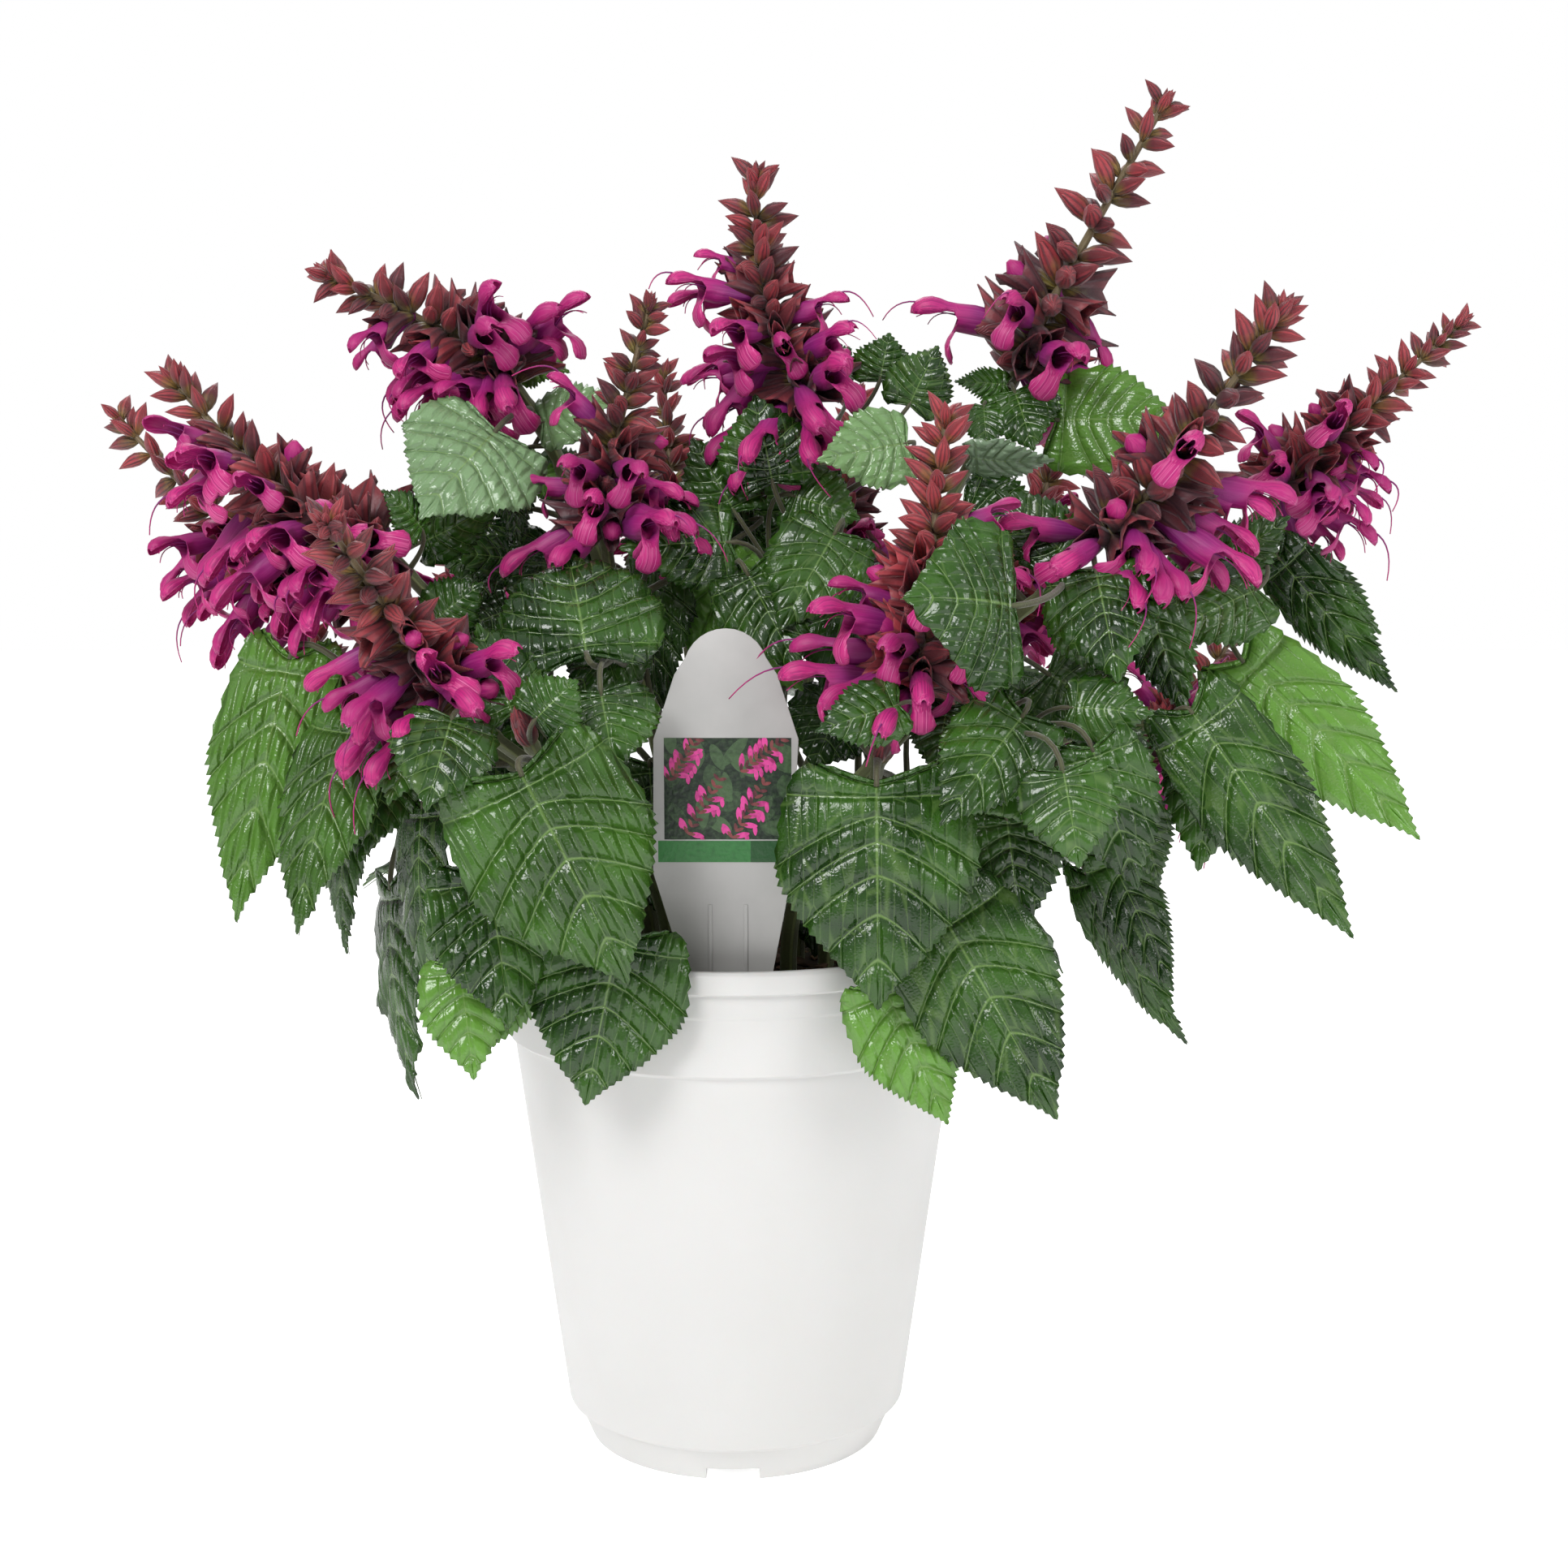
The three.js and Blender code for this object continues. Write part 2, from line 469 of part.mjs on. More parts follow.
// A leafy stem with its leaves fused to it.
function leafyStem(shoot, leaves) {
  let made = tube(shoot.curve);
  for (const leaf of leaves) {
    made = made.add(leafSolid(leaf, shoot.curve.getPoint(leaf.at)));
  }
  if (shoot.bud) {
    const top = shoot.curve.getPoint(1);
    const along = shoot.curve.getTangent(1);
    const root = top.clone().addScaledVector(along, -BUD_SINK);
    const tip = top.clone().addScaledVector(along, BUD_LENGTH);
    made = made.add(spindle(root, tip, BUD_RADIUS, 0.5, RIGHT));
  }
  return made;
}

// A flower spike in one closed mesh: a slim square rachis, rings of pointed calyxes that close up to
// the tip, and open flowers, each a long hood over a hanging lip.
function spikeSolid(spike) {
  const { base, tip, size } = spike;
  const middle = base.clone().addScaledVector(spike.start, 0.25 * base.distanceTo(tip));
  const axis = new THREE.QuadraticBezierCurve3(base, middle, tip);
  const points = [];
  const triangles = [];
  const add = (point) => points.push(point) - 1;
  // The unit vector out of the axis at a clock angle: 0 is to the right and 270 to the front.
  const spoke = (t, clock) => {
    const along = axis.getTangent(t);
    const right = new THREE.Vector3(1, 0, 0).addScaledVector(along, -along.x).normalize();
    const front = right.clone().cross(along).normalize();
    const angle = THREE.MathUtils.degToRad(clock);
    return right.multiplyScalar(Math.cos(angle)).addScaledVector(front, Math.sin(angle));
  };
  const ring = (t, shift, turn, radius) => [0, 1, 2, 3].map((k) => {
    const centre = axis.getPoint(t).addScaledVector(axis.getTangent(t), shift);
    return add(centre.addScaledVector(spoke(t, turn + 90 * k - 45), radius));
  });
  const band = (low, high, kept) => {
    for (let k = 0; k < 4; k += 1) {
      const next = (k + 1) % 4;
      if (kept(k)) {
        triangles.push([low[k], high[k], high[next]], [low[k], high[next], low[next]]);
      }
    }
  };
  const radius = RACHIS_RADIUS * size;
  let last = ring(0, 0, spike.turn, radius);
  triangles.push([last[0], last[1], last[2]], [last[0], last[2], last[3]]);
  for (let whorl = 0; whorl < spike.whorls; whorl += 1) {
    const t = 0.05 + (0.9 * whorl) / spike.whorls;
    const grown = 1 - 0.5 * t;
    const turn = spike.turn + 45 * (whorl % 2);
    const low = ring(t, -0.8 * size, turn, radius);
    const high = ring(t, 0.8 * size, turn, radius * 0.96);
    band(last, low, () => true);
    for (let k = 0; k < 4; k += 1) {
      const next = (k + 1) % 4;
      const out = spoke(t, turn + 90 * k);
      const rise = THREE.MathUtils.degToRad(20 + 42 * t);
      out.multiplyScalar(Math.cos(rise)).addScaledVector(axis.getTangent(t), Math.sin(rise));
      const open = spike.open.some(([at, clock]) => at === whorl && clockGap(360 - clock, turn + 90 * k) <= 45);
      floret(axis.getPoint(t), out, axis.getTangent(t), size * grown, open,
        [low[next], low[k], high[k], high[next]], add, triangles);
    }
    last = high;
  }
  const crown = ring(0.96, 0, spike.turn + 45 * (spike.whorls % 2), 2.2 * size);
  band(last, crown, () => true);
  const end = add(tip.clone().addScaledVector(axis.getTangent(1), 6 * size));
  for (let k = 0; k < 4; k += 1) {
    triangles.push([crown[k], end, crown[(k + 1) % 4]]);
  }
  return solid(points, triangles);
}

function clockGap(a, b) {
  return Math.abs(((((a - b) % 360) + 540) % 360) - 180);
}

// A floret on a four-sided opening of the rachis: a calyx alone, or a calyx with its open flower.
function floret(root, out, along, grown, open, foot, add, triangles) {
  const side = along.clone().cross(out).normalize();
  const up = out.clone().cross(side).normalize();
  const corners = [[-1, -1], [1, -1], [1, 1], [-1, 1]];
  const square = (distance, radius) => corners.map(([s, u]) =>
    add(root.clone().addScaledVector(out, distance)
      .addScaledVector(side, s * radius).addScaledVector(up, u * radius)));
  const join = (near, far) => {
    for (let k = 0; k < 4; k += 1) {
      const next = (k + 1) % 4;
      triangles.push([near[k], near[next], far[next]], [near[k], far[next], far[k]]);
    }
  };
  const reach = CALYX_LENGTH * grown * (open ? 1.12 : 1);
  const belly = square(reach * 0.55, CALYX_RADIUS * grown * (open ? 1 : 0.82));
  join(foot, belly);
  if (!open) {
    const tip = add(root.clone().addScaledVector(out, reach));
    for (let k = 0; k < 4; k += 1) {
      triangles.push([belly[k], belly[(k + 1) % 4], tip]);
    }
    return;
  }
  const [a, b, c, d] = square(reach * 1.1, CALYX_RADIUS);
  join(belly, [a, b, c, d]);
  const throat = add(root.clone().addScaledVector(out, reach * 1.25));
  const hood = add(root.clone().addScaledVector(out, reach * 0.6 + HOOD_LENGTH).addScaledVector(up, 3));
  const drop = up.clone().negate().addScaledVector(UP, -0.6).normalize();
  const lip = add(root.clone().addScaledVector(out, reach * 0.6 + LIP_LENGTH * 0.62)
    .addScaledVector(drop, LIP_LENGTH * 0.6));
  triangles.push([c, d, hood], [d, throat, hood], [throat, c, hood]);
  triangles.push([a, b, lip], [b, throat, lip], [throat, a, lip]);
  triangles.push([b, c, throat], [d, a, throat]);
}

// The pot, with its recessed rim, stepped wall and drainage notches at the foot.
function lathe(profile, sides) {
  const outline = profile.map(([radius, z]) => new THREE.Vector2(radius, z));
  const geometry = new THREE.LatheGeometry(outline, sides);
  geometry.rotateX(Math.PI / 2);
  return solidOf(geometry);
}

function pot() {
  const inner = (radius) => radius - POT_WALL;
  let made = lathe([
    [0, 0],
    [FOOT_RADIUS, 0],
    [FOOT_TOP_RADIUS, FOOT_TOP_HEIGHT],
    [WALL_BOTTOM_RADIUS, FOOT_STEP_HEIGHT],
    [WALL_TOP_RADIUS, SHOULDER_HEIGHT],
    [BAND_RADIUS, SHOULDER_HEIGHT + 0.8],
    [BAND_RADIUS, RECESS_BOTTOM],
    [RECESS_RADIUS, RECESS_BOTTOM + 0.6],
    [RECESS_RADIUS, POT_HEIGHT - LIP_HEIGHT],
    [RIM_RADIUS, POT_HEIGHT - LIP_HEIGHT + 0.5],
    [RIM_RADIUS, POT_HEIGHT - 0.8],
    [RIM_RADIUS - 0.8, POT_HEIGHT],
    [RIM_RADIUS - 2.4, POT_HEIGHT],
    [inner(WALL_TOP_RADIUS), SHOULDER_HEIGHT],
    [inner(FOOT_TOP_RADIUS), FLOOR_TOP],
    [0, FLOOR_TOP],
  ], POT_SIDES);
  for (let k = 0; k < NOTCH_COUNT; k += 1) {
    const outline = new THREE.Shape();
    outline.moveTo(-NOTCH_WIDTH / 2, -1);
    outline.lineTo(NOTCH_WIDTH / 2, -1);
    outline.lineTo(NOTCH_WIDTH / 2 - 1.6, NOTCH_HEIGHT);
    outline.lineTo(-NOTCH_WIDTH / 2 + 1.6, NOTCH_HEIGHT);
    outline.closePath();
    const cut = new THREE.ExtrudeGeometry(outline, { depth: NOTCH_DEPTH, bevelEnabled: false });
    cut.rotateX(Math.PI / 2);
    cut.translate(0, -FOOT_RADIUS + NOTCH_DEPTH - 2, 0);
    cut.rotateZ((2 * Math.PI * k) / NOTCH_COUNT);
    const hole = new THREE.CylinderGeometry(2.6, 2.6, 3 * FLOOR_TOP, 10);
    hole.rotateX(Math.PI / 2);
    hole.translate(0, -FOOT_RADIUS + NOTCH_DEPTH - 3, 0);
    hole.rotateZ((2 * Math.PI * k) / NOTCH_COUNT);
    made = made.subtract(solidOf(cut)).subtract(solidOf(hole));
  }
  return made;
}

// The soil fills the pot to a little below its rim, with a plain hole for each stem and the tag.
function soil(curves) {
  const inner = (radius) => radius - POT_WALL - GAP;
  const slope = (WALL_TOP_RADIUS - FOOT_TOP_RADIUS) / (SHOULDER_HEIGHT - FLOOR_TOP);
  let made = lathe([
    [0, SOIL_BOTTOM],
    [inner(FOOT_TOP_RADIUS) - 0.1, SOIL_BOTTOM],
    [inner(WALL_TOP_RADIUS) - 0.2, SHOULDER_HEIGHT],
    [inner(WALL_TOP_RADIUS + slope * 4), SOIL_TOP],
    [30, SOIL_CROWN],
    [0, SOIL_CROWN],
  ], SOIL_SIDES);
  for (const curve of curves) {
    const foot = curve.getPoint(0);
    const hole = new THREE.CylinderGeometry(HOLE_RADIUS, HOLE_RADIUS, HOLE_DEPTH + 4, 5);
    hole.rotateX(Math.PI / 2);
    hole.translate(foot.x, foot.y, SOIL_CROWN + 2 - HOLE_DEPTH / 2);
    made = made.subtract(solidOf(hole));
  }
  return made.subtract(tagSolid(GAP));
}

// The plant tag: a round top, straight sides and a foot that narrows into the soil.
function tagOutline(grow) {
  const at = (column, row) => {
    const point = seen(column, row, TAG_DEPTH);
    return new THREE.Vector2(point.x, point.z);
  };
  const top = at(894, 773);
  const left = at(805, 911);
  const right = at(984, 911);
  const lowLeft = at(805, 1075);
  const lowRight = at(974, 1086);
  const outline = new THREE.Shape();
  outline.moveTo(top.x - 6.5, TAG_FOOT - grow);
  outline.lineTo(top.x + 7, TAG_FOOT - grow);
  outline.lineTo(top.x + 10.2 + grow, SOIL_TOP + 4);
  outline.lineTo(lowRight.x + grow, lowRight.y);
  outline.lineTo(right.x + grow, right.y);
  const arc = 9.5;
  const shoulder = top.y - 8.5;
  outline.lineTo(top.x + arc + 2, shoulder - 2);
  outline.absarc(top.x, top.y - arc - 0.2, arc, Math.PI * 0.1, Math.PI * 0.9, false);
  outline.lineTo(top.x - arc - 2, shoulder - 2);
  outline.lineTo(left.x - grow, left.y);
  outline.lineTo(lowLeft.x - grow, lowLeft.y);
  outline.lineTo(top.x - 9 - grow, SOIL_TOP + 4);
  outline.closePath();
  return outline;
}

function tagSolid(grow) {
  const depth = TAG_THICKNESS + 2 * grow;
  const settings = { depth, bevelEnabled: false, curveSegments: 9 };
  const geometry = new THREE.ExtrudeGeometry(tagOutline(grow), settings);
  geometry.rotateX(Math.PI / 2);
  geometry.translate(0, TAG_DEPTH + depth / 2, 0);
  return solidOf(geometry);
}

const group = new THREE.Group();

const shoots = new Map();
for (const { name, foot, lean, top, bud } of STEMS) {
  const curve = stemCurve(new THREE.Vector2(...foot), seen(...lean), seen(...top));
  const leaves = (LEAVES[name] ?? []).map(({ at, base, tip, wide, roll, arch }) =>
    ({ at, base: seen(...base), tip: seen(...tip), wide, roll, arch }));
  shoots.set(name, { curve, bud, leaves });
}
const spikes = SPIKES.map(({ name, stem, tip, size, whorls, turn, open }) => {
  const { curve } = shoots.get(stem);
  const start = curve.getTangent(1);
  const base = curve.getPoint(1).addScaledVector(start, GAP);
  return { name, base, start, tip: seen(...tip), size, whorls, turn, open };
});
BACK_SHOOTS.forEach((shoot, i) => {
  const name = `stem_back_${i + 1}`;
  const foot = polar(shoot.turn, BACK_FOOT_RADIUS, 0);
  const top = polar(shoot.turn, shoot.reach, shoot.height);
  const lean = polar(shoot.turn, shoot.reach * 0.75, shoot.height * 0.55 + 66);
  const curve = stemCurve(new THREE.Vector2(foot.x, foot.y), lean, top);
  shoots.set(name, { curve, leaves: [] });
  const start = curve.getTangent(1);
  const base = curve.getPoint(1).addScaledVector(start, GAP);
  const tip = polar(shoot.turn, shoot.tipReach, shoot.tipHeight);
  const open = [0, 0, 1, 2, 3].map((whorl, k) => [whorl, (shoot.turn + 130 * k) % 360]);
  spikes.push({ name: `spike_back_${i + 1}`, base, start, tip, size: 0.95, whorls: 5, turn: 10, open });
});
for (const { count, turn, reach, height, tipReach, tipHeight, wide, at } of BACK_RINGS) {
  for (let k = 0; k < count; k += 1) {
    const angle = turn + ((180 - 2 * turn) * k) / (count - 1);
    const nearest = BACK_SHOOTS.reduce((best, shoot, i) =>
      Math.abs(shoot.turn - angle) < Math.abs(BACK_SHOOTS[best].turn - angle) ? i : best, 0);
    shoots.get(`stem_back_${nearest + 1}`).leaves.push({
      at,
      base: polar(angle, reach, height),
      tip: polar(angle, tipReach, tipHeight),
      wide,
      roll: 0,
      arch: 5,
    });
  }
}

const POT_FINISH = { color: 0xf2f1ef, roughness: 0.35, metalness: 0 };
const SOIL_FINISH = { color: 0x2b2019, roughness: 1, metalness: 0 };
const TAG_FINISH = { color: 0xf5f5f5, roughness: 0.4, metalness: 0 };
const LEAF_FINISH = { color: 0x2f5c33, roughness: 0.55, metalness: 0 };
const SPIKE_FINISH = { color: 0x8a1c4e, roughness: 0.6, metalness: 0 };
const stemCurves = [...shoots.values()].map(({ curve }) => curve);
addMesh("pot", pot(), POT_FINISH);
addMesh("soil", soil(stemCurves), SOIL_FINISH);
addMesh("plant_tag", tagSolid(0), TAG_FINISH);
for (const [name, shoot] of shoots) {
  addMesh(name, leafyStem(shoot, shoot.leaves), LEAF_FINISH);
}
for (const spike of spikes) {
  addMesh(spike.name, spikeSolid(spike), SPIKE_FINISH);
}

export default group;
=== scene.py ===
"""Potted salvia: a flowering plant with a tag in a white nursery pot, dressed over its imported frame."""
import math
import random

import bpy
import numpy as np
from bpy.props import FloatProperty, FloatVectorProperty, IntProperty, PointerProperty
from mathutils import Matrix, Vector


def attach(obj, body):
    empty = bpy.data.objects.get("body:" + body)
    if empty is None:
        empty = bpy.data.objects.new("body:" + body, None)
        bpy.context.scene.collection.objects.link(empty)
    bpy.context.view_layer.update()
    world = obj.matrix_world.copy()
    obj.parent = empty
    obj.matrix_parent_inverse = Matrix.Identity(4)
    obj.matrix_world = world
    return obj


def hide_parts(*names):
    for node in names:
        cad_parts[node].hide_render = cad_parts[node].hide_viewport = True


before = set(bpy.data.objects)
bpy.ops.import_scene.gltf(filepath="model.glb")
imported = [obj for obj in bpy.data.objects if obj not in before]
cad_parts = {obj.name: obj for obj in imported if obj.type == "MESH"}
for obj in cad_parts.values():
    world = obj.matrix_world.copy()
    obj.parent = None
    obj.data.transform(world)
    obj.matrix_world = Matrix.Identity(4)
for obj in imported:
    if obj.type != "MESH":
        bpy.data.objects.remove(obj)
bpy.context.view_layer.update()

bl_info = {
    "name": "Potted Salvia",
    "version": (1, 0, 0),
    "blender": (4, 5, 0),
    "location": "View3D > Sidebar > Salvia",
    "description": "Models a potted salvia with its leaves, flower spikes, soil, tag and pot",
    "category": "Add Mesh",
}

MM = 0.001
UP = np.array([0.0, 0.0, 1.0])
RIGHT = np.array([1.0, 0.0, 0.0])

# The viewpoint of the picture, in millimetres: the eye looks along +Y, tipped down by its pitch.
EYE = np.array([12.0, -536.0, 219.0])
PITCH = math.radians(6.2)
SENSOR = 36.0
PICTURE = 1932
FOCAL = 2726
MIDDLE = PICTURE / 2

# Soil and tag: heights, and the tag's depth, in millimetres.
SOIL_TOP = 117.0
TAG_DEPTH = -43.0
TAG_FOOT = 78.0

# Stems: heights of the foot and of the bend, how far each first goes straight up, and radii, in millimetres.
STEM_FOOT = 85.5
STEM_START = 120.0
STEM_RISE = 36.0
STEM_RADIUS = 2.1
STEM_TOP_RADIUS = 1.5
STEM_CORNERS = 4
PETIOLE_RADIUS = 0.9

# Spikes, calyxes and buds: the gap over the stem, lengths in millimetres, counts, and the turn from one
# calyx of the crown to the next in degrees.
RACHIS_RADIUS = 1.25
GAP = 0.3
BUD_LENGTH = 9.0
BUD_SINK = 2.5
BRACTS = 7
CALYX_LENGTH = 13.5
CALYX_RIBS = 10
LEAST_WHORLS = 10
GOLDEN_ANGLE = 137.5
SPINDLE_SIDES = 8
SPINDLE_CUTS = 4


def seen(column, row, depth):
    """The place that a picture point shows at a distance behind the pot's axis."""
    u = (column - MIDDLE) / FOCAL
    v = (MIDDLE - row) / FOCAL
    ray = np.array([u, math.cos(PITCH) + v * math.sin(PITCH), v * math.cos(PITCH) - math.sin(PITCH)])
    return EYE + ray * (depth - EYE[1]) / ray[1]


def polar(turn, reach, height):
    angle = math.radians(turn)
    return np.array([reach * math.cos(angle), reach * math.sin(angle), height])


def stem(foot, lean, top, bud=False):
    """A leafy stem: its foot in the soil, the point that it leans towards and its top."""
    return {"foot": foot, "lean": seen(*lean), "top": seen(*top), "bud": bud}


def leaf(at, base, tip, wide, arch, roll=0, tone=None):
    """A leaf: how far up its stem it grows, its base and tip, width, arch, roll and tone. The tone paints how
    lit the leaf looks: low for painted shade, near 1 for painted light through the blade, above 1 for a
    painted pale reflection.
    """
    return {"at": at, "base": seen(*base), "tip": seen(*tip), "wide": wide, "arch": arch,
            "roll": roll, "tone": tone}


def color_property(name, description, default):
    return FloatVectorProperty(name=name, description=description, subtype="COLOR", default=default)


def number_property(name, description, default, **limits):
    return FloatProperty(name=name, description=description, default=default, **limits)


# Leafy stems.
STEMS = {
    "stem_far_left": stem((-20, -3), (575, 790, -22), (474, 676, -24)),
    "stem_outer_left": stem((-29, 5), (566, 800, 4), (420, 716, 4)),
    "stem_front_left": stem((-15, -16), (640, 960, -50), (566, 868, -50)),
    "stem_left": stem((-12, 9), (732, 606, 14), (634, 474, 12)),
    "stem_middle_left": stem((-6, -6), (752, 800, -14), (746, 656, -12)),
    "stem_middle": stem((-2, 14), (1036, 700, 16), (1004, 500, 12)),
    "stem_tall": stem((6, 13), (1170, 640, 32), (1253, 458, 26)),
    "stem_front": stem((5, -18), (1118, 960, -42), (1130, 846, -46)),
    "stem_right": stem((15, -5), (1230, 776, -26), (1358, 668, -30)),
    "stem_far_right": stem((20, 5), (1440, 760, 2), (1574, 612, 4)),
    "stem_young_left": stem((-9, -22), (700, 1020, -58), (648, 905, -62), bud=True),
    "stem_young_front": stem((13, -24), (1085, 1040, -54), (1082, 925, -56), bud=True),
    "stem_low_right": stem((22, -12), (1200, 900, -40), (1442, 893, -44), bud=True),
    "stem_low_left": stem((-24, -10), (600, 900, -34), (488, 894, -38), bud=True),
}
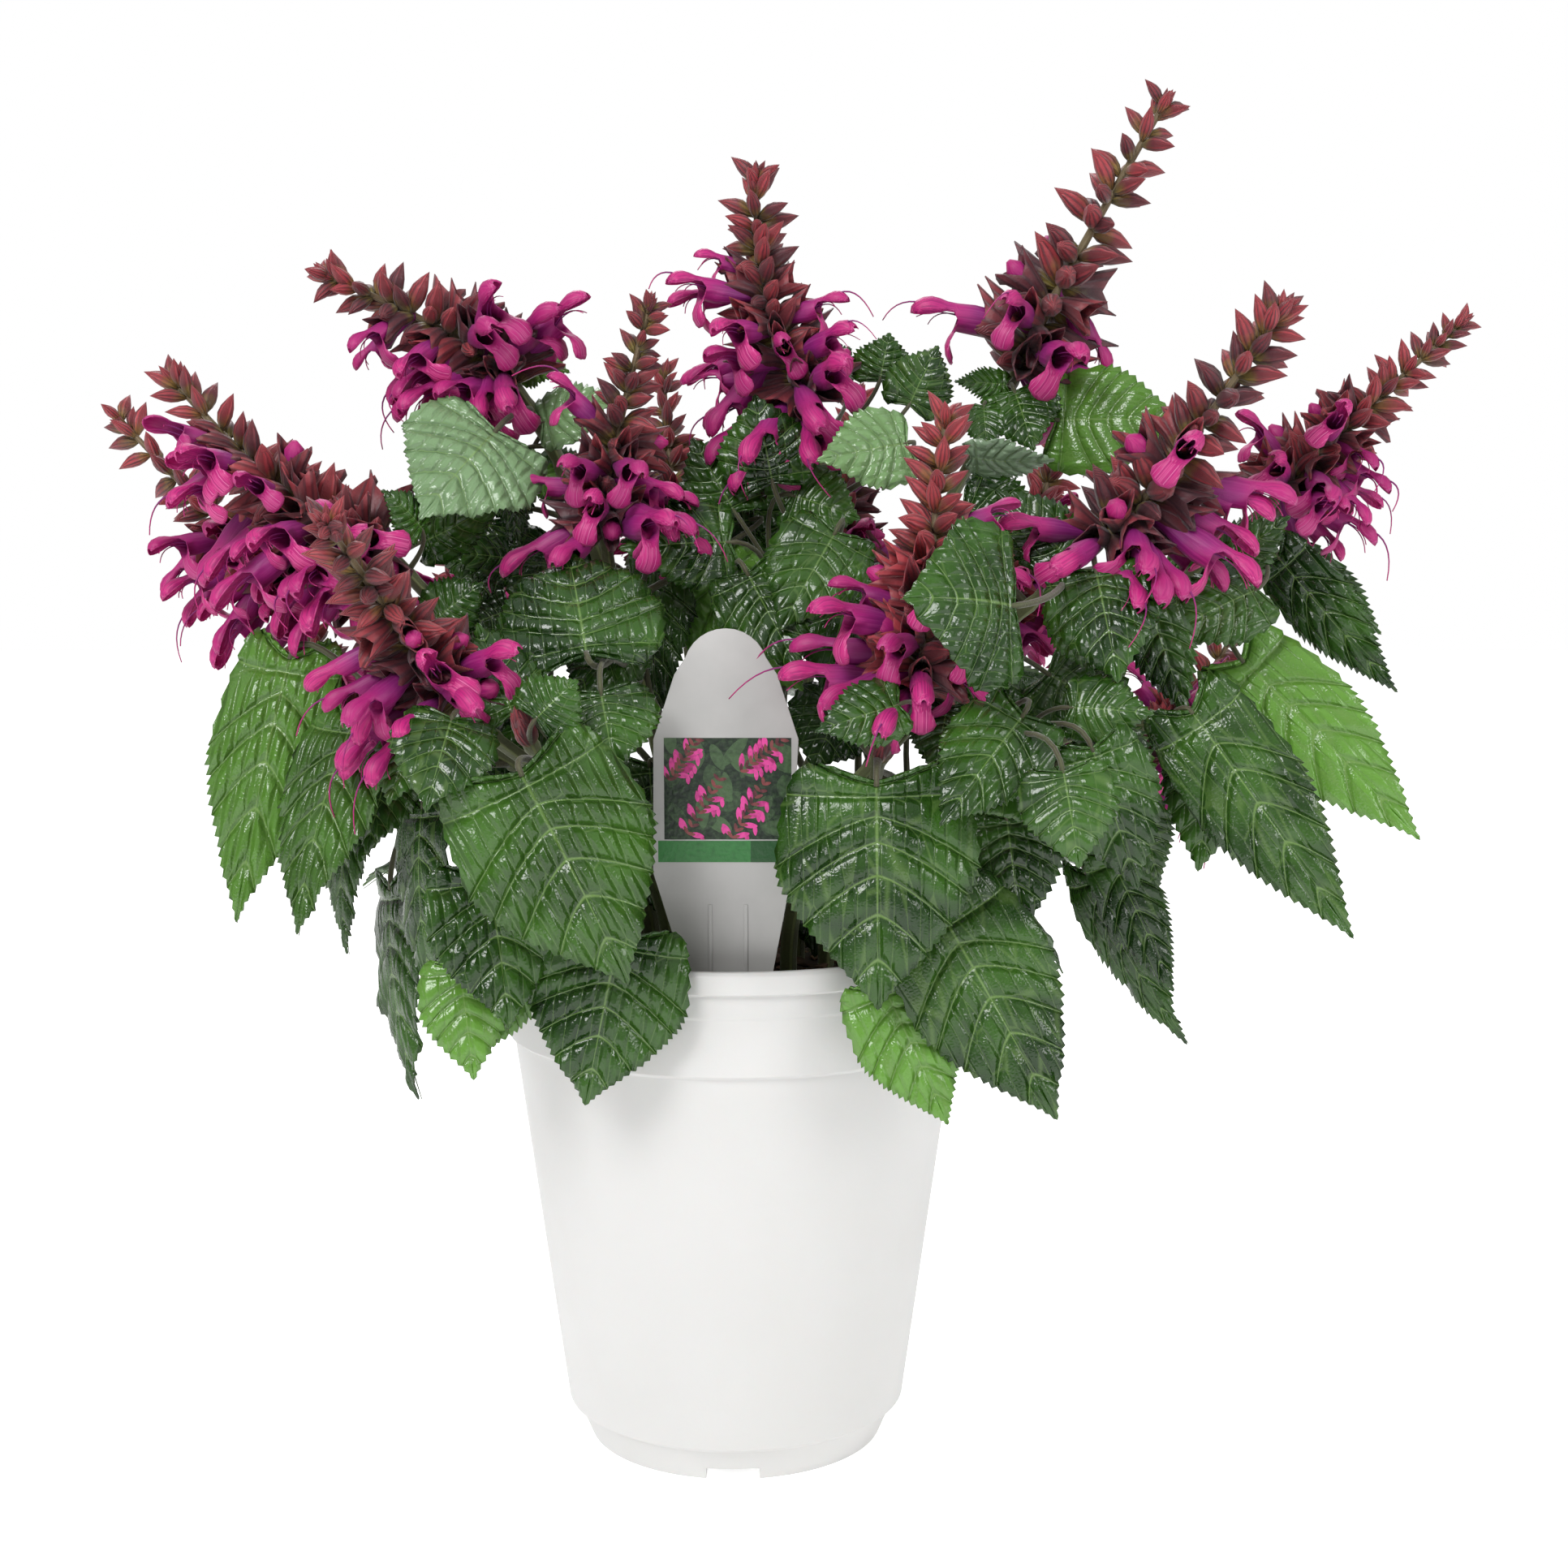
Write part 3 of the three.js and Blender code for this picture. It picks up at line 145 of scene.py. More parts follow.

# Leaves seen from the front, by the stem they grow on. A leaf's tone paints how lit it looks: 0 for painted
# shade, near 1 for painted light through the blade, above 1 for a painted pale reflection.
LEAVES = {
    "stem_far_left": [
        leaf(0.97, (520, 668, -16), (616, 612, -8), 17, 3, roll=40),
        leaf(0.92, (520, 652, -30), (470, 604, -34), 12, 2, roll=30),
        leaf(0.7, (536, 764, -25), (596, 718, -22), 15, 2),
        leaf(0.5, (614, 846, -24), (562, 776, -24), 14, 2),
    ],
    "stem_front_left": [
        leaf(0.85, (557, 884, -68), (524, 1000, -84), 23, 4),
        leaf(0.9, (512, 903, -58), (478, 992, -66), 15, 2, roll=15),
    ],
    "stem_left": [
        leaf(0.3, (664, 850, 2), (640, 1010, -6), 26, 3, tone=0.0),
        leaf(0.25, (600, 900, -2), (572, 1084, -10), 24, 3, tone=0.0),
        leaf(0.7, (604, 640, 14), (590, 748, 6), 24, 3, tone=0.1),
        leaf(0.65, (690, 670, 14), (640, 770, 6), 24, 3, tone=0.0),
        leaf(0.88, (652, 580, 14), (702, 612, 10), 9, 1, tone=0.9),
        leaf(0.93, (612, 530, -10), (516, 641, -32), 35, 6, tone=1.55),
        leaf(0.91, (668, 522, 8), (762, 489, 6), 17, 3, roll=-20, tone=1.5),
        leaf(0.9, (644, 448, 26), (702, 459, 22), 13, 8, tone=0.7),
        leaf(0.85, (628, 566, 12), (641, 674, 6), 14, 2, roll=35),
        leaf(0.8, (664, 592, 26), (736, 566, 30), 14, 1),
        leaf(0.7, (640, 690, 12), (548, 680, 4), 14, 2),
        leaf(0.6, (628, 752, 8), (540, 790, 2), 24, 2, roll=20),
    ],
    "stem_middle_left": [
        leaf(0.8, (928, 640, 10), (764, 668, 4), 25, 4, tone=0.1),
        leaf(0.7, (806, 690, 6), (812, 900, -6), 24, 4, roll=40, tone=0.0),
        leaf(0.3, (800, 940, 2), (812, 1130, -8), 26, 3, tone=0.0),
        leaf(0.55, (770, 780, -20), (702, 858, -34), 20, 3, tone=0.2),
        leaf(0.72, (723, 808, -50), (700, 680, -26), 38, 6),
        leaf(0.62, (740, 852, -56), (758, 956, -64), 24, 3),
    ],
    "stem_middle": [
        leaf(0.6, (978, 655, 26), (918, 492, 32), 34, 4, tone=0.0),
        leaf(0.4, (872, 712, 2), (990, 852, -4), 30, 4, tone=0.95),
        leaf(0.5, (1056, 700, 6), (1012, 852, 0), 30, 4, tone=0.0),
        leaf(0.3, (1040, 860, 0), (1000, 950, -6), 24, 3, tone=0.0),
        leaf(0.2, (1010, 1030, 2), (1004, 1180, -10), 26, 3, tone=0.0),
        leaf(0.62, (906, 632, 0), (852, 540, 6), 20, 2),
        leaf(0.72, (952, 596, -2), (930, 486, 0), 24, 3),
        leaf(0.5, (900, 668, -14), (762, 676, -22), 22, 3),
        leaf(0.42, (1030, 655, -18), (960, 778, -30), 25, 3),
        leaf(0.36, (920, 705, -20), (985, 830, -32), 23, 2),
        leaf(0.55, (975, 610, 2), (1060, 640, 0), 20, 2),
        leaf(0.93, (1044, 478, 32), (1030, 424, 38), 15, 1),
        leaf(0.9, (1084, 470, 10), (1096, 410, 12), 16, 1),
        leaf(0.86, (1120, 500, 4), (1156, 426, 6), 17, 2),
        leaf(0.8, (1118, 546, -12), (1006, 568, -20), 20, 3, tone=1.45),
    ],
    "stem_tall": [
        leaf(0.97, (1250, 482, 18), (1274, 556, 8), 20, 3),
        leaf(0.92, (1212, 500, 16), (1216, 556, 8), 11, 1),
        leaf(0.99, (1240, 474, 22), (1176, 470, 20), 8, 1),
        leaf(0.9, (1300, 518, 14), (1460, 520, 4), 28, 4, tone=0.75),
        leaf(0.84, (1196, 564, 4), (1300, 566, 0), 13, 2, roll=60, tone=1.7),
    ],
    "stem_front": [
        leaf(0.7, (1046, 862, -24), (1150, 806, -26), 22, 2),
        leaf(0.93, (1168, 870, -50), (1152, 955, -54), 16, 2, roll=10),
        leaf(0.86, (1108, 868, -64), (1004, 902, -68), 15, 2),
    ],
    "stem_right": [
        leaf(0.7, (1290, 830, 0), (1404, 900, -8), 27, 4, tone=0.1),
        leaf(0.8, (1186, 626, 12), (1294, 664, 6), 23, 3, tone=0.0),
        leaf(0.85, (1430, 716, 6), (1540, 772, 0), 29, 4, tone=0.1),
        leaf(0.5, (1190, 800, 4), (1180, 930, -4), 30, 4, tone=0.0),
        leaf(0.9, (1251, 747, -66), (1112, 737, -79), 38, 6),
        leaf(0.97, (1350, 702, -44), (1378, 842, -56), 26, 4),
        leaf(0.94, (1320, 690, -34), (1226, 604, -26), 17, 2),
        leaf(0.84, (1310, 742, -44), (1348, 832, -46), 12, 2, roll=15),
        leaf(0.6, (1336, 1072, -34), (1463, 1287, -38), 18, 4, roll=50),
        leaf(0.66, (1366, 1052, -42), (1446, 1222, -46), 15, 3),
    ],
    "stem_far_right": [
        leaf(0.86, (1528, 812, -18), (1750, 1035, -28), 27, 5, tone=0.9),
        leaf(0.97, (1574, 686, -2), (1722, 853, -10), 17, 4, roll=20),
        leaf(0.94, (1606, 690, 14), (1702, 782, 14), 12, 1),
        leaf(0.9, (1550, 726, -22), (1428, 786, -28), 20, 3),
        leaf(0.74, (1500, 702, -12), (1590, 636, -14), 15, 2),
        leaf(0.76, (1414, 742, -36), (1462, 884, -38), 15, 2),
    ],
    "stem_young_left": [
        leaf(0.99, (632, 880, -60), (588, 768, -46), 18, 3),
        leaf(0.96, (660, 886, -70), (712, 838, -66), 16, 2),
        leaf(0.86, (640, 950, -76), (774, 1213, -74), 43, 7, tone=0.5),
        leaf(0.7, (600, 1075, -60), (627, 1268, -66), 30, 4, roll=-10),
        leaf(0.5, (566, 1190, -57), (584, 1331, -62), 20, 3, tone=0.85),
        leaf(0.4, (648, 1185, -56), (601, 1296, -56), 14, 2, roll=20, tone=0.7),
        leaf(0.6, (762, 1154, -60), (721, 1362, -62), 36, 4),
    ],
    "stem_young_front": [
        leaf(0.97, (1080, 962, -66), (1082, 1245, -70), 44, 6, tone=0.0),
        leaf(0.5, (1158, 1122, -60), (1303, 1380, -62), 35, 5, tone=0.4),
        leaf(0.4, (1088, 1214, -60), (1168, 1386, -62), 24, 3, tone=0.85),
    ],
    "stem_low_right": [
        leaf(0.38, (1262, 880, -60), (1158, 1018, -76), 24, 3),
        leaf(0.99, (1466, 874, -50), (1668, 1157, -60), 26, 6, roll=5),
        leaf(0.96, (1500, 906, -40), (1476, 1074, -44), 22, 3),
        leaf(0.8, (1340, 902, -52), (1432, 973, -56), 16, 2),
        leaf(0.72, (1318, 872, -54), (1422, 880, -58), 16, 2),
        leaf(0.5, (1304, 940, -62), (1214, 1002, -66), 27, 3),
        leaf(0.55, (1310, 950, -76), (1330, 1070, -80), 21, 5),
        leaf(0.62, (1345, 920, -62), (1402, 1096, -62), 23, 3),
        leaf(0.68, (1392, 990, -48), (1430, 1086, -50), 15, 1),
        leaf(0.42, (1240, 1005, -50), (1258, 1152, -54), 23, 3),
    ],
    "stem_low_left": [
        leaf(0.97, (358, 806, -30), (291, 1137, -42), 28, 6, roll=14, tone=0.7),
        leaf(0.93, (436, 886, -44), (366, 1152, -58), 26, 6, roll=34, tone=0.55),
        leaf(0.88, (432, 975, -30), (428, 1176, -34), 17, 4, roll=60),
        leaf(0.8, (482, 940, -40), (452, 1053, -46), 17, 2, roll=20),
        leaf(0.72, (480, 1090, -24), (516, 1355, -30), 30, 5, roll=72),
        leaf(0.62, (520, 990, -46), (538, 1235, -50), 22, 5, roll=58),
    ],
}

# Flower spikes: the tip, its size, how red its calyxes are, and its open flowers, each given by its
# share of the axis and its clock angle, where 0 is to the right and 270 to the front. Bow is how far the
# axis bends right and up, crown how many calyxes the top has, rise their least lift in degrees, step the
# distance of the whorls, taper how much the calyxes shrink, bloom how many more flowers open near the
# foot, and spread how far round from the front those stand.
SPIKE_DEFAULTS = dict(bow=(0, 0), crown=5, rise=5, step=4.0, taper=0.42, bloom=0.3, spread=70)
SPIKES = {
    "spike_far_left": dict(tip=(203, 458, -14), size=1.06, red=0.55, bow=(-2, -14), crown=4, flowers=[
        (0.12, 230), (0.2, 200), (0.25, 250), (0.3, 230), (0.34, 185), (0.38, 262), (0.42, 215),
        (0.46, 240), (0.48, 180), (0.52, 225), (0.55, 262), (0.58, 190), (0.61, 235), (0.64, 180),
        (0.67, 210), (0.7, 250), (0.73, 185), (0.77, 225)]),
    "spike_outer_left": dict(
        tip=(140, 508, 12), size=0.98, red=0.6, bow=(0, -12), crown=3, step=4.6, flowers=[
            (0.15, 220), (0.22, 190), (0.28, 240), (0.34, 180), (0.38, 215), (0.43, 185), (0.47, 240),
            (0.52, 200), (0.56, 178), (0.6, 225), (0.65, 190)]),
    "spike_front_left": dict(tip=(398, 640, -84), size=1.0, red=0.4, flowers=[
        (0.04, 290), (0.08, 235), (0.12, 190), (0.16, 262), (0.22, 215), (0.26, 300), (0.3, 175),
        (0.34, 245), (0.4, 205), (0.48, 230), (0.54, 185), (0.2, 340)]),
    "spike_left": dict(tip=(398, 338, 2), size=1.0, red=0.45, flowers=[
        (0.04, 250), (0.08, 205), (0.13, 275), (0.18, 230), (0.22, 185), (0.26, 255), (0.32, 215),
        (0.36, 325), (0.4, 245), (0.46, 195), (0.5, 265), (0.56, 225), (0.64, 200), (0.28, 335),
        (0.72, 245), (0.2, 330), (0.15, 345), (0.44, 330), (0.58, 190), (0.7, 195)]),
    "spike_middle_left": dict(tip=(802, 372, -16), size=0.95, red=0.35, taper=0.54, flowers=[
        (0.03, 245), (0.05, 300), (0.1, 345), (0.13, 200), (0.16, 268), (0.22, 315), (0.26, 355),
        (0.3, 180), (0.34, 255), (0.4, 330), (0.46, 285), (0.5, 205)]),
    "spike_middle": dict(tip=(932, 214, 10), size=1.0, red=0.4, bow=(-13, 2), step=3.6, flowers=[
        (0.03, 262), (0.06, 215), (0.1, 300), (0.14, 240), (0.18, 185), (0.22, 275), (0.27, 225),
        (0.3, 310), (0.34, 195), (0.4, 250), (0.44, 175), (0.5, 330), (0.54, 205), (0.38, 190),
        (0.7, 180), (0.1, 195), (0.24, 180), (0.62, 185)]),
    "spike_tall": dict(
        tip=(1438, 122, 22), size=1.2, red=0.5, step=5.2, taper=0.52, rise=-3, bloom=0.04, flowers=[
            (0.04, 325), (0.06, 5), (0.11, 290), (0.14, 345), (0.24, 245), (0.42, 0), (0.3, 185)]),
    "spike_front": dict(tip=(1166, 512, -38), size=1.0, red=0.9, flowers=[
        (0.04, 235), (0.07, 190), (0.12, 265), (0.16, 210), (0.22, 180), (0.26, 245), (0.33, 200),
        (0.38, 300), (0.42, 185), (0.62, 345), (0.5, 260), (0.68, 5)]),
    "spike_right": dict(tip=(1584, 376, -34), size=1.1, red=0.4, bloom=0.1, flowers=[
        (0.03, 185), (0.06, 240), (0.09, 290), (0.12, 322), (0.16, 345), (0.2, 300), (0.26, 335),
        (0.34, 350), (0.42, 5), (0.3, 0), (0.37, 355), (0.5, 250), (0.22, 268)]),
    "spike_far_right": dict(tip=(1808, 392, 8), size=0.9, red=0.6, bloom=0.2, taper=0.56, flowers=[
        (0.08, 15), (0.04, 350), (0.07, 300), (0.11, 250), (0.15, 330), (0.19, 200), (0.23, 285), (0.28, 5),
        (0.33, 320), (0.4, 260)]),
}

# Shoots and rings of leaves round the back and sides, placed by rule. A ring's first and last leaf
# stand at its turn to the right and left, and its roll turns them to face outwards.
BACK_FOOT_RADIUS = 26
BACK_SHOOTS = [
    dict(turn=20, reach=102, height=158, tip_reach=142, tip_height=200),
    dict(turn=45, reach=92, height=196, tip_reach=134, tip_height=258),
    dict(turn=70, reach=70, height=206, tip_reach=98, tip_height=262),
    dict(turn=103, reach=72, height=208, tip_reach=98, tip_height=268),
    dict(turn=135, reach=88, height=184, tip_reach=122, tip_height=246),
    dict(turn=161, reach=96, height=166, tip_reach=122, tip_height=206),
]
BACK_RINGS = [
    dict(count=5, turn=36, reach=66, height=132, tip_reach=104, tip_height=96, wide=32, at=0.5),
    dict(count=6, turn=26, reach=60, height=152, tip_reach=112, tip_height=128, wide=28, at=0.62),
    dict(count=6, turn=14, reach=50, height=182, tip_reach=96, tip_height=172, wide=27, at=0.42),
    dict(count=3, turn=56, reach=48, height=208, tip_reach=76, tip_height=213, wide=20, at=0.48),
    dict(count=2, turn=-8, reach=48, height=158, tip_reach=80, tip_height=116, wide=34, at=0.5, roll=80),
    dict(count=2, turn=-24, reach=50, height=190, tip_reach=74, tip_height=156, wide=28, at=0.55, roll=75),
    dict(count=2, turn=-42, reach=46, height=160, tip_reach=68, tip_height=122, wide=30, at=0.5, roll=70),
    dict(count=2, turn=8, reach=52, height=196, tip_reach=76, tip_height=160, wide=30, at=0.6, roll=70),
]
BACK_FLOWERS = [(0.05, 0), (0.1, 60), (0.18, 150), (0.26, 210), (0.32, 280), (0.4, 20), (0.46, 110),
                (0.54, 170), (0.6, 250), (0.2, 320)]


# Curves, in millimetres.

def unit(vector):
    return vector / np.linalg.norm(vector, axis=-1, keepdims=True)


def bezier(points, t):
    """Points of a Bezier curve at an array of parameters."""
    t = np.asarray(t, dtype=float)[..., None]
    layer = [np.broadcast_to(p, t.shape[:-1] + (3,)) for p in points]
    while len(layer) > 1:
        layer = [a * (1 - t) + b * t for a, b in zip(layer, layer[1:])]
    return layer[0]


def heading(points, t):
    """Unit tangents of a Bezier curve at an array of parameters."""
    steps = [np.asarray(b) - np.asarray(a) for a, b in zip(points, points[1:])]
    return unit(bezier(steps, t))


def turned(vector, axis, degrees):
    """A vector turned about a unit axis."""
    angle = math.radians(degrees)
    across = np.cross(axis, vector)
    along = axis * np.dot(axis, vector)
    return along + (vector - along) * math.cos(angle) + across * math.sin(angle)


def square_to(vector, axis):
    return unit(vector - axis * np.sum(vector * axis, axis=-1, keepdims=True))


def smooth(low, high, value):
    t = np.clip((value - low) / (high - low), 0, 1)
    return t * t * (3 - 2 * t)


# Meshes. Templates are modelled once in millimetres, and each copy of one has a mesh of its own.

def deselect():
    if bpy.context.object and bpy.context.object.mode != "OBJECT":
        bpy.ops.object.mode_set(mode="OBJECT")
    bpy.ops.object.select_all(action="DESELECT")


def pick(obj):
    deselect()
    obj.select_set(True)
    bpy.context.view_layer.objects.active = obj


def edit_by_edges():
    """Sets edit mode to edges, so that edges chosen in code stay chosen there."""
    bpy.ops.object.mode_set(mode="EDIT")
    bpy.ops.mesh.select_mode(type="EDGE")
    bpy.ops.object.mode_set(mode="OBJECT")


def open_edges(obj):
    """The edges with fewer than two faces, by their pairs of points."""
    counts = {edge.key: 0 for edge in obj.data.edges}
    for face in obj.data.polygons:
        for key in face.edge_keys:
            counts[key] += 1
    return {key for key, count in counts.items() if count < 2}


def choose_edges(obj, chosen):
    """Selects the edges with the chosen pairs of points, and nothing else."""
    obj.data.vertices.foreach_set("select", [False] * len(obj.data.vertices))
    obj.data.polygons.foreach_set("select", [False] * len(obj.data.polygons))
    obj.data.edges.foreach_set("select", [edge.key in chosen for edge in obj.data.edges])


def points_of(obj):
    flat = np.empty(len(obj.data.vertices) * 3, dtype=np.float32)
    obj.data.vertices.foreach_get("co", flat)
    return flat.reshape(-1, 3).astype(float)


def set_points(obj, points):
    obj.data.vertices.foreach_set("co", np.asarray(points, dtype=np.float32).ravel())
    obj.data.update()


def set_values(obj, name, kind, values):
    """Writes one value for each point into an attribute of the piece's own."""
    layer = obj.data.attributes.get(name) or obj.data.attributes.new(name, kind, "POINT")
    key = "vector" if kind == "FLOAT_VECTOR" else "value"
    layer.data.foreach_set(key, np.asarray(values, dtype=np.float32).ravel())


def copy_of(template, points, tone=None):
    """A copy of a template with a mesh of its own, moved to its points and given its tone."""
    mesh = template.data.copy()
    made = bpy.data.objects.new(template.name, mesh)
    bpy.context.scene.collection.objects.link(made)
    set_points(made, points)
    if tone is not None:
        set_values(made, "tone", "FLOAT", np.full(len(mesh.vertices), tone))
    return made


def joined(name, objects):
    deselect()
    for obj in objects:
        obj.select_set(True)
    bpy.context.view_layer.objects.active = objects[0]
    bpy.ops.object.join()
    made = bpy.context.object
    made.name = name
    made.data.name = name
    return made


def apply_modifiers(obj):
    pick(obj)
    for modifier in list(obj.modifiers):
        bpy.ops.object.modifier_apply(modifier=modifier.name)


def thicken(obj, thickness, lining=0):
    """Gives a sheet its thickness, with the inner faces in the material that many slots further on."""
    modifier = obj.modifiers.new("Thickness", "SOLIDIFY")
    modifier.thickness = thickness
    modifier.offset = 0
    modifier.material_offset = lining
    apply_modifiers(obj)


def round_edges(obj, width, degrees):
    """Rounds the edges sharper than an angle, by a width in millimetres, after the other modifiers."""
    modifier = obj.modifiers.new("Rounded edges", "BEVEL")
    modifier.width = width * MM
    modifier.segments = 2
    modifier.limit_method = "ANGLE"
    modifier.angle_limit = math.radians(degrees)
    apply_modifiers(obj)


def merge_doubles(obj, distance):
    pick(obj)
    bpy.ops.object.mode_set(mode="EDIT")
    bpy.ops.mesh.select_all(action="SELECT")
    bpy.ops.mesh.remove_doubles(threshold=distance)
    bpy.ops.object.mode_set(mode="OBJECT")


def face_outwards(obj):
    pick(obj)
    bpy.ops.object.mode_set(mode="EDIT")
    bpy.ops.mesh.select_all(action="SELECT")
    bpy.ops.mesh.normals_make_consistent(inside=False)
    bpy.ops.object.mode_set(mode="OBJECT")


def shade_smooth(obj, degrees=None):
    pick(obj)
    if degrees is None:
        bpy.ops.object.shade_smooth()
    else:
        bpy.ops.object.shade_smooth_by_angle(angle=math.radians(degrees))


def tube_template(name, sides, cuts, capped=True):
    """A tube of radius 1 from z 0 to z 1, with cuts along its length."""
    deselect()
    fill = "NGON" if capped else "NOTHING"
    bpy.ops.mesh.primitive_cylinder_add(vertices=sides, radius=1, depth=1, end_fill_type=fill,
                                        location=(0, 0, 0.5))
    made = bpy.context.object
    made.name = name
    bpy.ops.object.transform_apply(location=True)
    edit_by_edges()
    height = points_of(made)[:, 2]
    choose_edges(made, {e.key for e in made.data.edges if abs(height[e.key[0]] - height[e.key[1]]) > 0.5})
    bpy.ops.object.mode_set(mode="EDIT")
    bpy.ops.mesh.subdivide(number_cuts=cuts)
    bpy.ops.object.mode_set(mode="OBJECT")
    shade_smooth(made)
    points = points_of(made)
    around = np.arctan2(points[:, 1], points[:, 0]) / (2 * math.pi)
    chart = np.stack([around, points[:, 2], np.zeros(len(points))], axis=1)
    set_values(made, "chart", "FLOAT_VECTOR", chart)
    set_values(made, "tone", "FLOAT", np.full(len(points), 0.5))
    return made


def along_curve(template, controls, radius, side):
    """The template's points carried along a curve, with a radius for each share of its length."""
    points = points_of(template)
    t = points[:, 2]
    centre = bezier(controls, t)
    along = heading(controls, t)
    across = square_to(np.broadcast_to(side, along.shape), along)
    third = np.cross(along, across)
    swell = radius(t)[:, None]
    return centre + across * points[:, :1] * swell + third * points[:, 1:2] * swell


# Materials.

def add(tree, kind, inputs=None, **settings):
    """A shader node with its settings, and its inputs given as values or as links."""
    made = tree.nodes.new("ShaderNode" + kind)
    for name, value in settings.items():
        setattr(made, name, value)
    for key, value in (inputs or {}).items():
        if isinstance(value, bpy.types.NodeSocket):
            tree.links.new(value, made.inputs[key])
        else:
            made.inputs[key].default_value = value
    return made


def maths(tree, operation, a, b=0.0, c=0.0):
    return add(tree, "Math", {0: a, 1: b, 2: c}, operation=operation).outputs[0]


def times(tree, a, b):
    return maths(tree, "MULTIPLY", a, b)


def plus(tree, a, b):
    return maths(tree, "ADD", a, b)


def mixed(tree, factor, a, b):
    """Two colours mixed, each given as a link or as its red, green and blue."""
    a, b = (c if isinstance(c, bpy.types.NodeSocket) else (*c, 1.0) for c in (a, b))
    return add(tree, "Mix", {0: factor, 6: a, 7: b}, data_type="RGBA").outputs[2]


def noise(tree, place, scale, detail):
    return add(tree, "TexNoise", {"Vector": place, "Scale": scale, "Detail": detail}).outputs["Fac"]


def edge_distance(tree, place, scale, randomness):
    """How far a point is from the nearest edge between cells."""
    inputs = {"Vector": place, "Scale": scale, "Randomness": randomness}
    return add(tree, "TexVoronoi", inputs, feature="DISTANCE_TO_EDGE").outputs["Distance"]


def axes(tree, vector):
    return add(tree, "SeparateXYZ", {0: vector}).outputs


def object_place(tree):
    return add(tree, "TexCoord").outputs["Object"]


def attribute(tree, name, output="Fac"):
    return add(tree, "Attribute", attribute_name=name, attribute_type="GEOMETRY").outputs[output]


def span(tree, value, low, high, to_low=0.0, to_high=1.0):
    """A value's place between two limits, eased at both ends."""
    inputs = {"Value": value, "From Min": low, "From Max": high, "To Min": to_low, "To Max": to_high}
    return add(tree, "MapRange", inputs, interpolation_type="SMOOTHSTEP").outputs["Result"]


def new_material(name):
    material = bpy.data.materials.new(name)
    material.use_nodes = True
    tree = material.node_tree
    shader = tree.nodes["Principled BSDF"]
    return material, tree, shader


def bump(tree, height, strength, distance, invert=False):
    inputs = {"Height": height, "Strength": strength, "Distance": distance}
    return add(tree, "Bump", inputs, invert=invert).outputs["Normal"]


def set_surface(tree, shader, color, normal):
    tree.links.new(color, shader.inputs["Base Color"])
    tree.links.new(normal, shader.inputs["Normal"])


def vein_group():
    """Where a leaf's veins and its fine net run, where shade is painted in the creases along the net and
    beside the veins, and how high the quilting between them stands.
    """
    if "Leaf veins" in bpy.data.node_groups:
        return bpy.data.node_groups["Leaf veins"]
    tree = bpy.data.node_groups.new("Leaf veins", "ShaderNodeTree")
    for direction, names in (("INPUT", ("Veins", "Net", "Width")), ("OUTPUT", ("Vein", "Painted_crease_shade", "Height"))):
        for name in names:
            tree.interface.new_socket(name, in_out=direction, socket_type="NodeSocketFloat")
    given = tree.nodes.new("NodeGroupInput").outputs
    result = tree.nodes.new("NodeGroupOutput")
    place = axes(tree, add(tree, "UVMap", uv_map="UVMap").outputs["UV"])
    chart = attribute(tree, "chart", "Vector")
    sheet = axes(tree, chart)
    across = maths(tree, "ABSOLUTE", maths(tree, "MULTIPLY_ADD", place["X"], 2.0, -1.0))
    climb = times(tree, place["Y"], given["Veins"])
    off = maths(tree, "SUBTRACT", maths(tree, "FRACT", climb), 0.5)
    off = maths(tree, "SUBTRACT", 0.5, maths(tree, "ABSOLUTE", off))
    width = times(tree, given["Width"], maths(tree, "SUBTRACT", 1.35, across))
    side_veins = span(tree, off, 0.0, width, 1.0, 0.0)
    midrib = span(tree, across, 0.0, 0.05, 1.0, 0.0)
    groove = span(tree, off, 0.0, times(tree, width, 4.5), 1.0, 0.0)
    ladder = {0: plus(tree, climb, 0.72), 1: times(tree, sheet["Y"], 0.36), 2: sheet["Z"]}
    ladder = add(tree, "CombineXYZ", ladder)
    cells = edge_distance(tree, ladder.outputs[0], 1.0, 0.45)
    fine = edge_distance(tree, chart, given["Net"], 0.9)
    net = times(tree, span(tree, cells, 0.0, 0.12, 1.0, 0.0), 0.7)
    thread = times(tree, span(tree, cells, 0.0, 0.05, 1.0, 0.0), 0.4)
    vein = maths(tree, "MAXIMUM", maths(tree, "MAXIMUM", side_veins, midrib), thread)
    cushion = plus(tree, span(tree, cells, 0.0, 0.4), times(tree, span(tree, fine, 0.0, 0.4), 0.07))
    tree.links.new(vein, result.inputs["Vein"])
    # Painted shade: the creases of the net and the grooves beside the side veins, where the leaf's colour is
    # darkened.
    tree.links.new(maths(tree, "MAXIMUM", net, groove), result.inputs["Painted_crease_shade"])
    tree.links.new(maths(tree, "SUBTRACT", cushion, times(tree, groove, 0.6)), result.inputs["Height"])
    return tree


